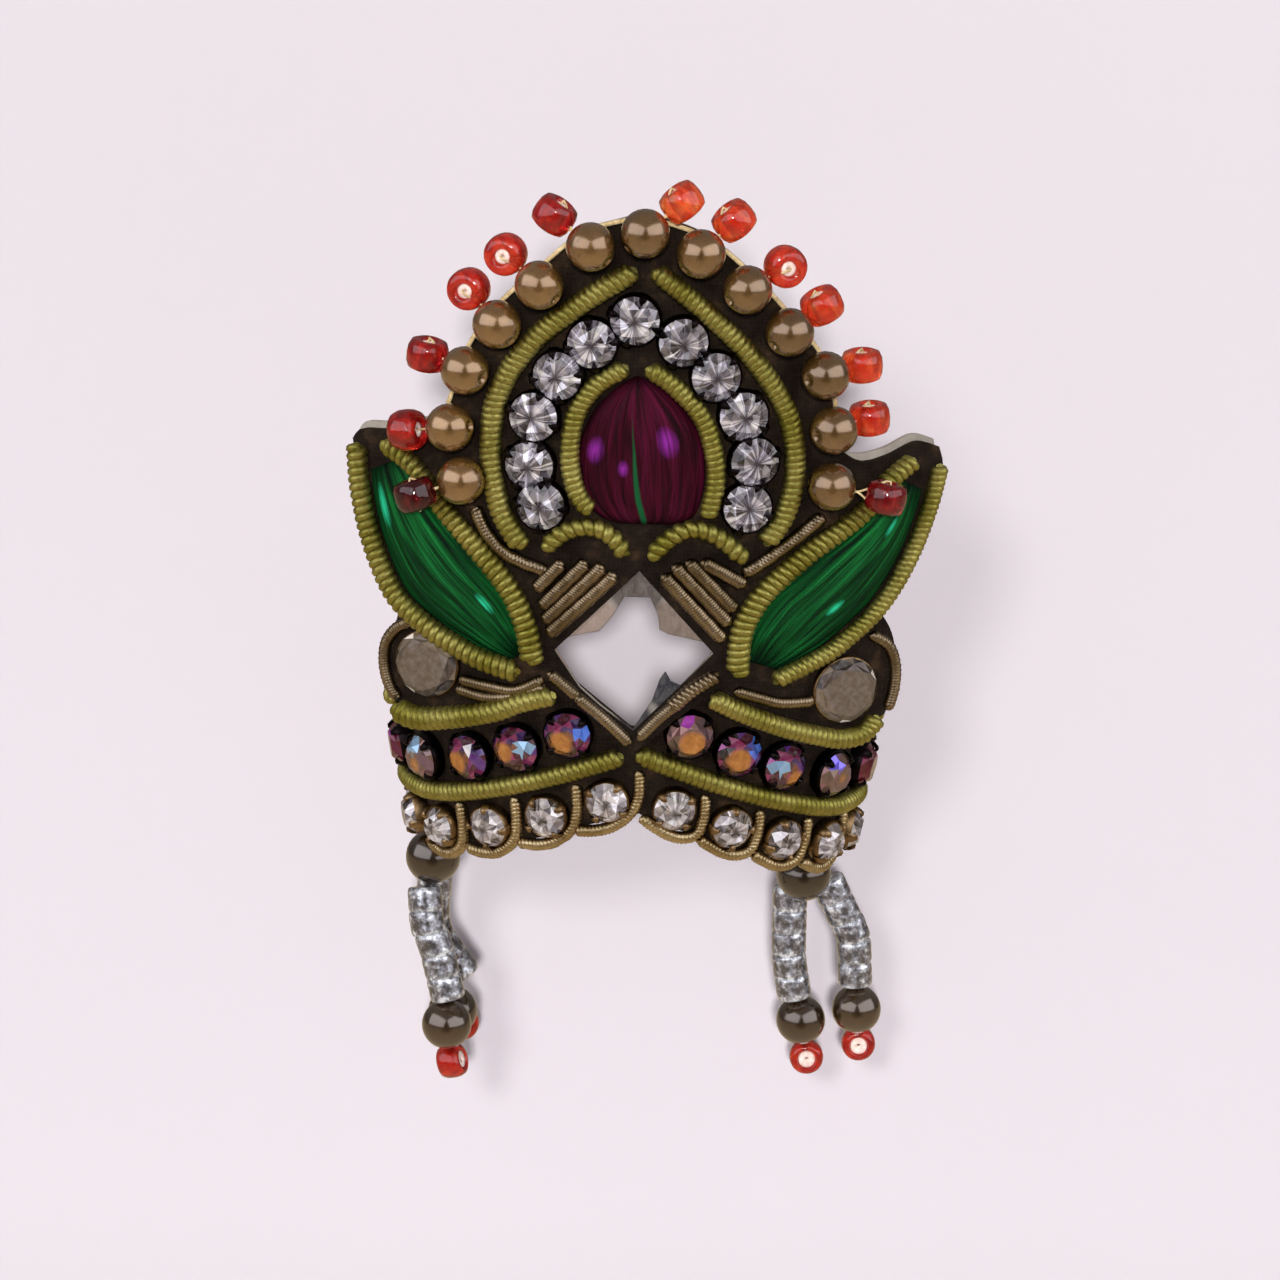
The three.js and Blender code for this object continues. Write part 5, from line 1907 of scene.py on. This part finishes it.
def paper_sweep():
    points, faces = [], []
    for k, (y, z) in enumerate(SWEEP):
        points += [Vector((-SWEEP_SIDE, y, z)), Vector((SWEEP_SIDE, y, z))]
        if k:
            faces.append((2 * k - 2, 2 * k - 1, 2 * k + 1, 2 * k))
    mesh = mesh_of("paper_sweep", points, faces)
    look = Look("pale_paper", roughness=0.9, specular_ior_level=0.05)
    look.set("Base Color", look.ramp(look.noise(90, 2), [(0.3, "c7c3c8"), (0.7, "c9c5ca")]))
    # Seen from behind, the paper lets the crown's back show.
    behind = add_node(look.tree, "ShaderNodeNewGeometry").outputs["Backfacing"]
    clear = add_node(look.tree, "ShaderNodeBsdfTransparent").outputs[0]
    sides = {0: behind, 1: look.shader.outputs[0], 2: clear}
    mixed = add_node(look.tree, "ShaderNodeMixShader", sides).outputs[0]
    output = next(n for n in look.tree.nodes if n.type == "OUTPUT_MATERIAL")
    look.tree.links.new(mixed, output.inputs["Surface"])
    mesh.materials.append(look.material)
    paper = linked("paper_sweep", mesh)
    paper.visible_glossy = False


def camera():
    tilt, roll = math.radians(VIEW["elevation"]), math.radians(VIEW["roll"])
    ahead = Vector((0, math.cos(tilt), -math.sin(tilt)))
    level, upright = Vector((1, 0, 0)), Vector((0, math.sin(tilt), math.cos(tilt)))
    right = level * math.cos(roll) + upright * math.sin(roll)
    up = upright * math.cos(roll) - level * math.sin(roll)
    data = bpy.data.cameras.new("camera")
    data.sensor_width = VIEW["sensor"]
    data.lens = VIEW["sensor"] * VIEW["distance"] / VIEW["width"]
    data.clip_start, data.clip_end = VIEW["near"], VIEW["far"]
    place = (Vector(VIEW["target"]) - ahead * VIEW["distance"]) * MM
    view = linked("camera", data)
    view.matrix_world = basis(right, up, -ahead, place)
    bpy.context.scene.camera = view


def toward(aim):
    """The turn of a lamp that shines along an aim."""
    return Vector(aim).to_track_quat("-Z", "Y").to_matrix().to_4x4()


def new_light(kind, row):
    data = bpy.data.lights.new(row["name"], kind)
    data.color = tint(row["colour"])[:3]
    return data, linked(row["name"], data)


def window(row):
    data, lamp = new_light("AREA", row)
    data.shape = "RECTANGLE"
    data.size, data.size_y = (side * MM for side in WINDOW["size"])
    data.energy = WINDOW["power"]
    place = Vector(around(row["azimuth"], WINDOW["elevation"], WINDOW["distance"]))
    lamp.matrix_world = Matrix.Translation(place * MM) @ toward(Vector(WINDOW["aim"]) - place)
    lamp.visible_diffuse = False


def sun(row):
    data, lamp = new_light("SUN", row)
    data.energy, data.angle = row["strength"], math.radians(row["size"])
    lamp.matrix_world = toward(row["aim"])
    lamp.visible_glossy = False


def around(azimuth, elevation, distance):
    """A place seen from the crown at an azimuth to the right of its front, and an elevation."""
    turn, lift = math.radians(azimuth), math.radians(elevation)
    level = math.cos(lift)
    way = (math.sin(turn) * level, -math.cos(turn) * level, math.sin(lift))
    return tuple(distance * share for share in way)


def studio_world():
    """Dim surroundings: warm from below, dark at eye level, and dimmer straight in front."""
    world = bpy.data.worlds.new("studio")
    world.use_nodes = True
    tree = world.node_tree
    background = next(n for n in tree.nodes if n.type == "BACKGROUND")
    way = add_node(tree, "ShaderNodeTexCoord").outputs["Generated"]
    height = add_node(tree, "ShaderNodeSeparateXYZ", {0: way}).outputs[2]
    upwards = maths(tree, "MULTIPLY_ADD", height, 0.5, 0.5)
    shade = add_node(tree, "ShaderNodeValToRGB", {"Fac": upwards})
    set_stops(shade.color_ramp, WORLD_STOPS)
    tree.links.new(shade.outputs["Color"], background.inputs["Color"])
    back = add_node(tree, "ShaderNodeSeparateXYZ", {0: way}).outputs[1]
    off = maths(tree, "SUBTRACT", FRONT_EDGE, maths(tree, "MULTIPLY", back, -1.0))
    off = maths(tree, "MULTIPLY", off, FRONT_SHARPNESS, clamp=True)
    strength = maths(tree, "MULTIPLY_ADD", off, WORLD_REST, WORLD_LEAST)
    tree.links.new(strength, background.inputs["Strength"])
    bpy.context.scene.world = world


paper_sweep()
camera()
for row in WINDOWS:
    window(row)
for row in SUNS:
    sun(row)
studio_world()
bpy.context.scene.view_settings.view_transform = "Standard"
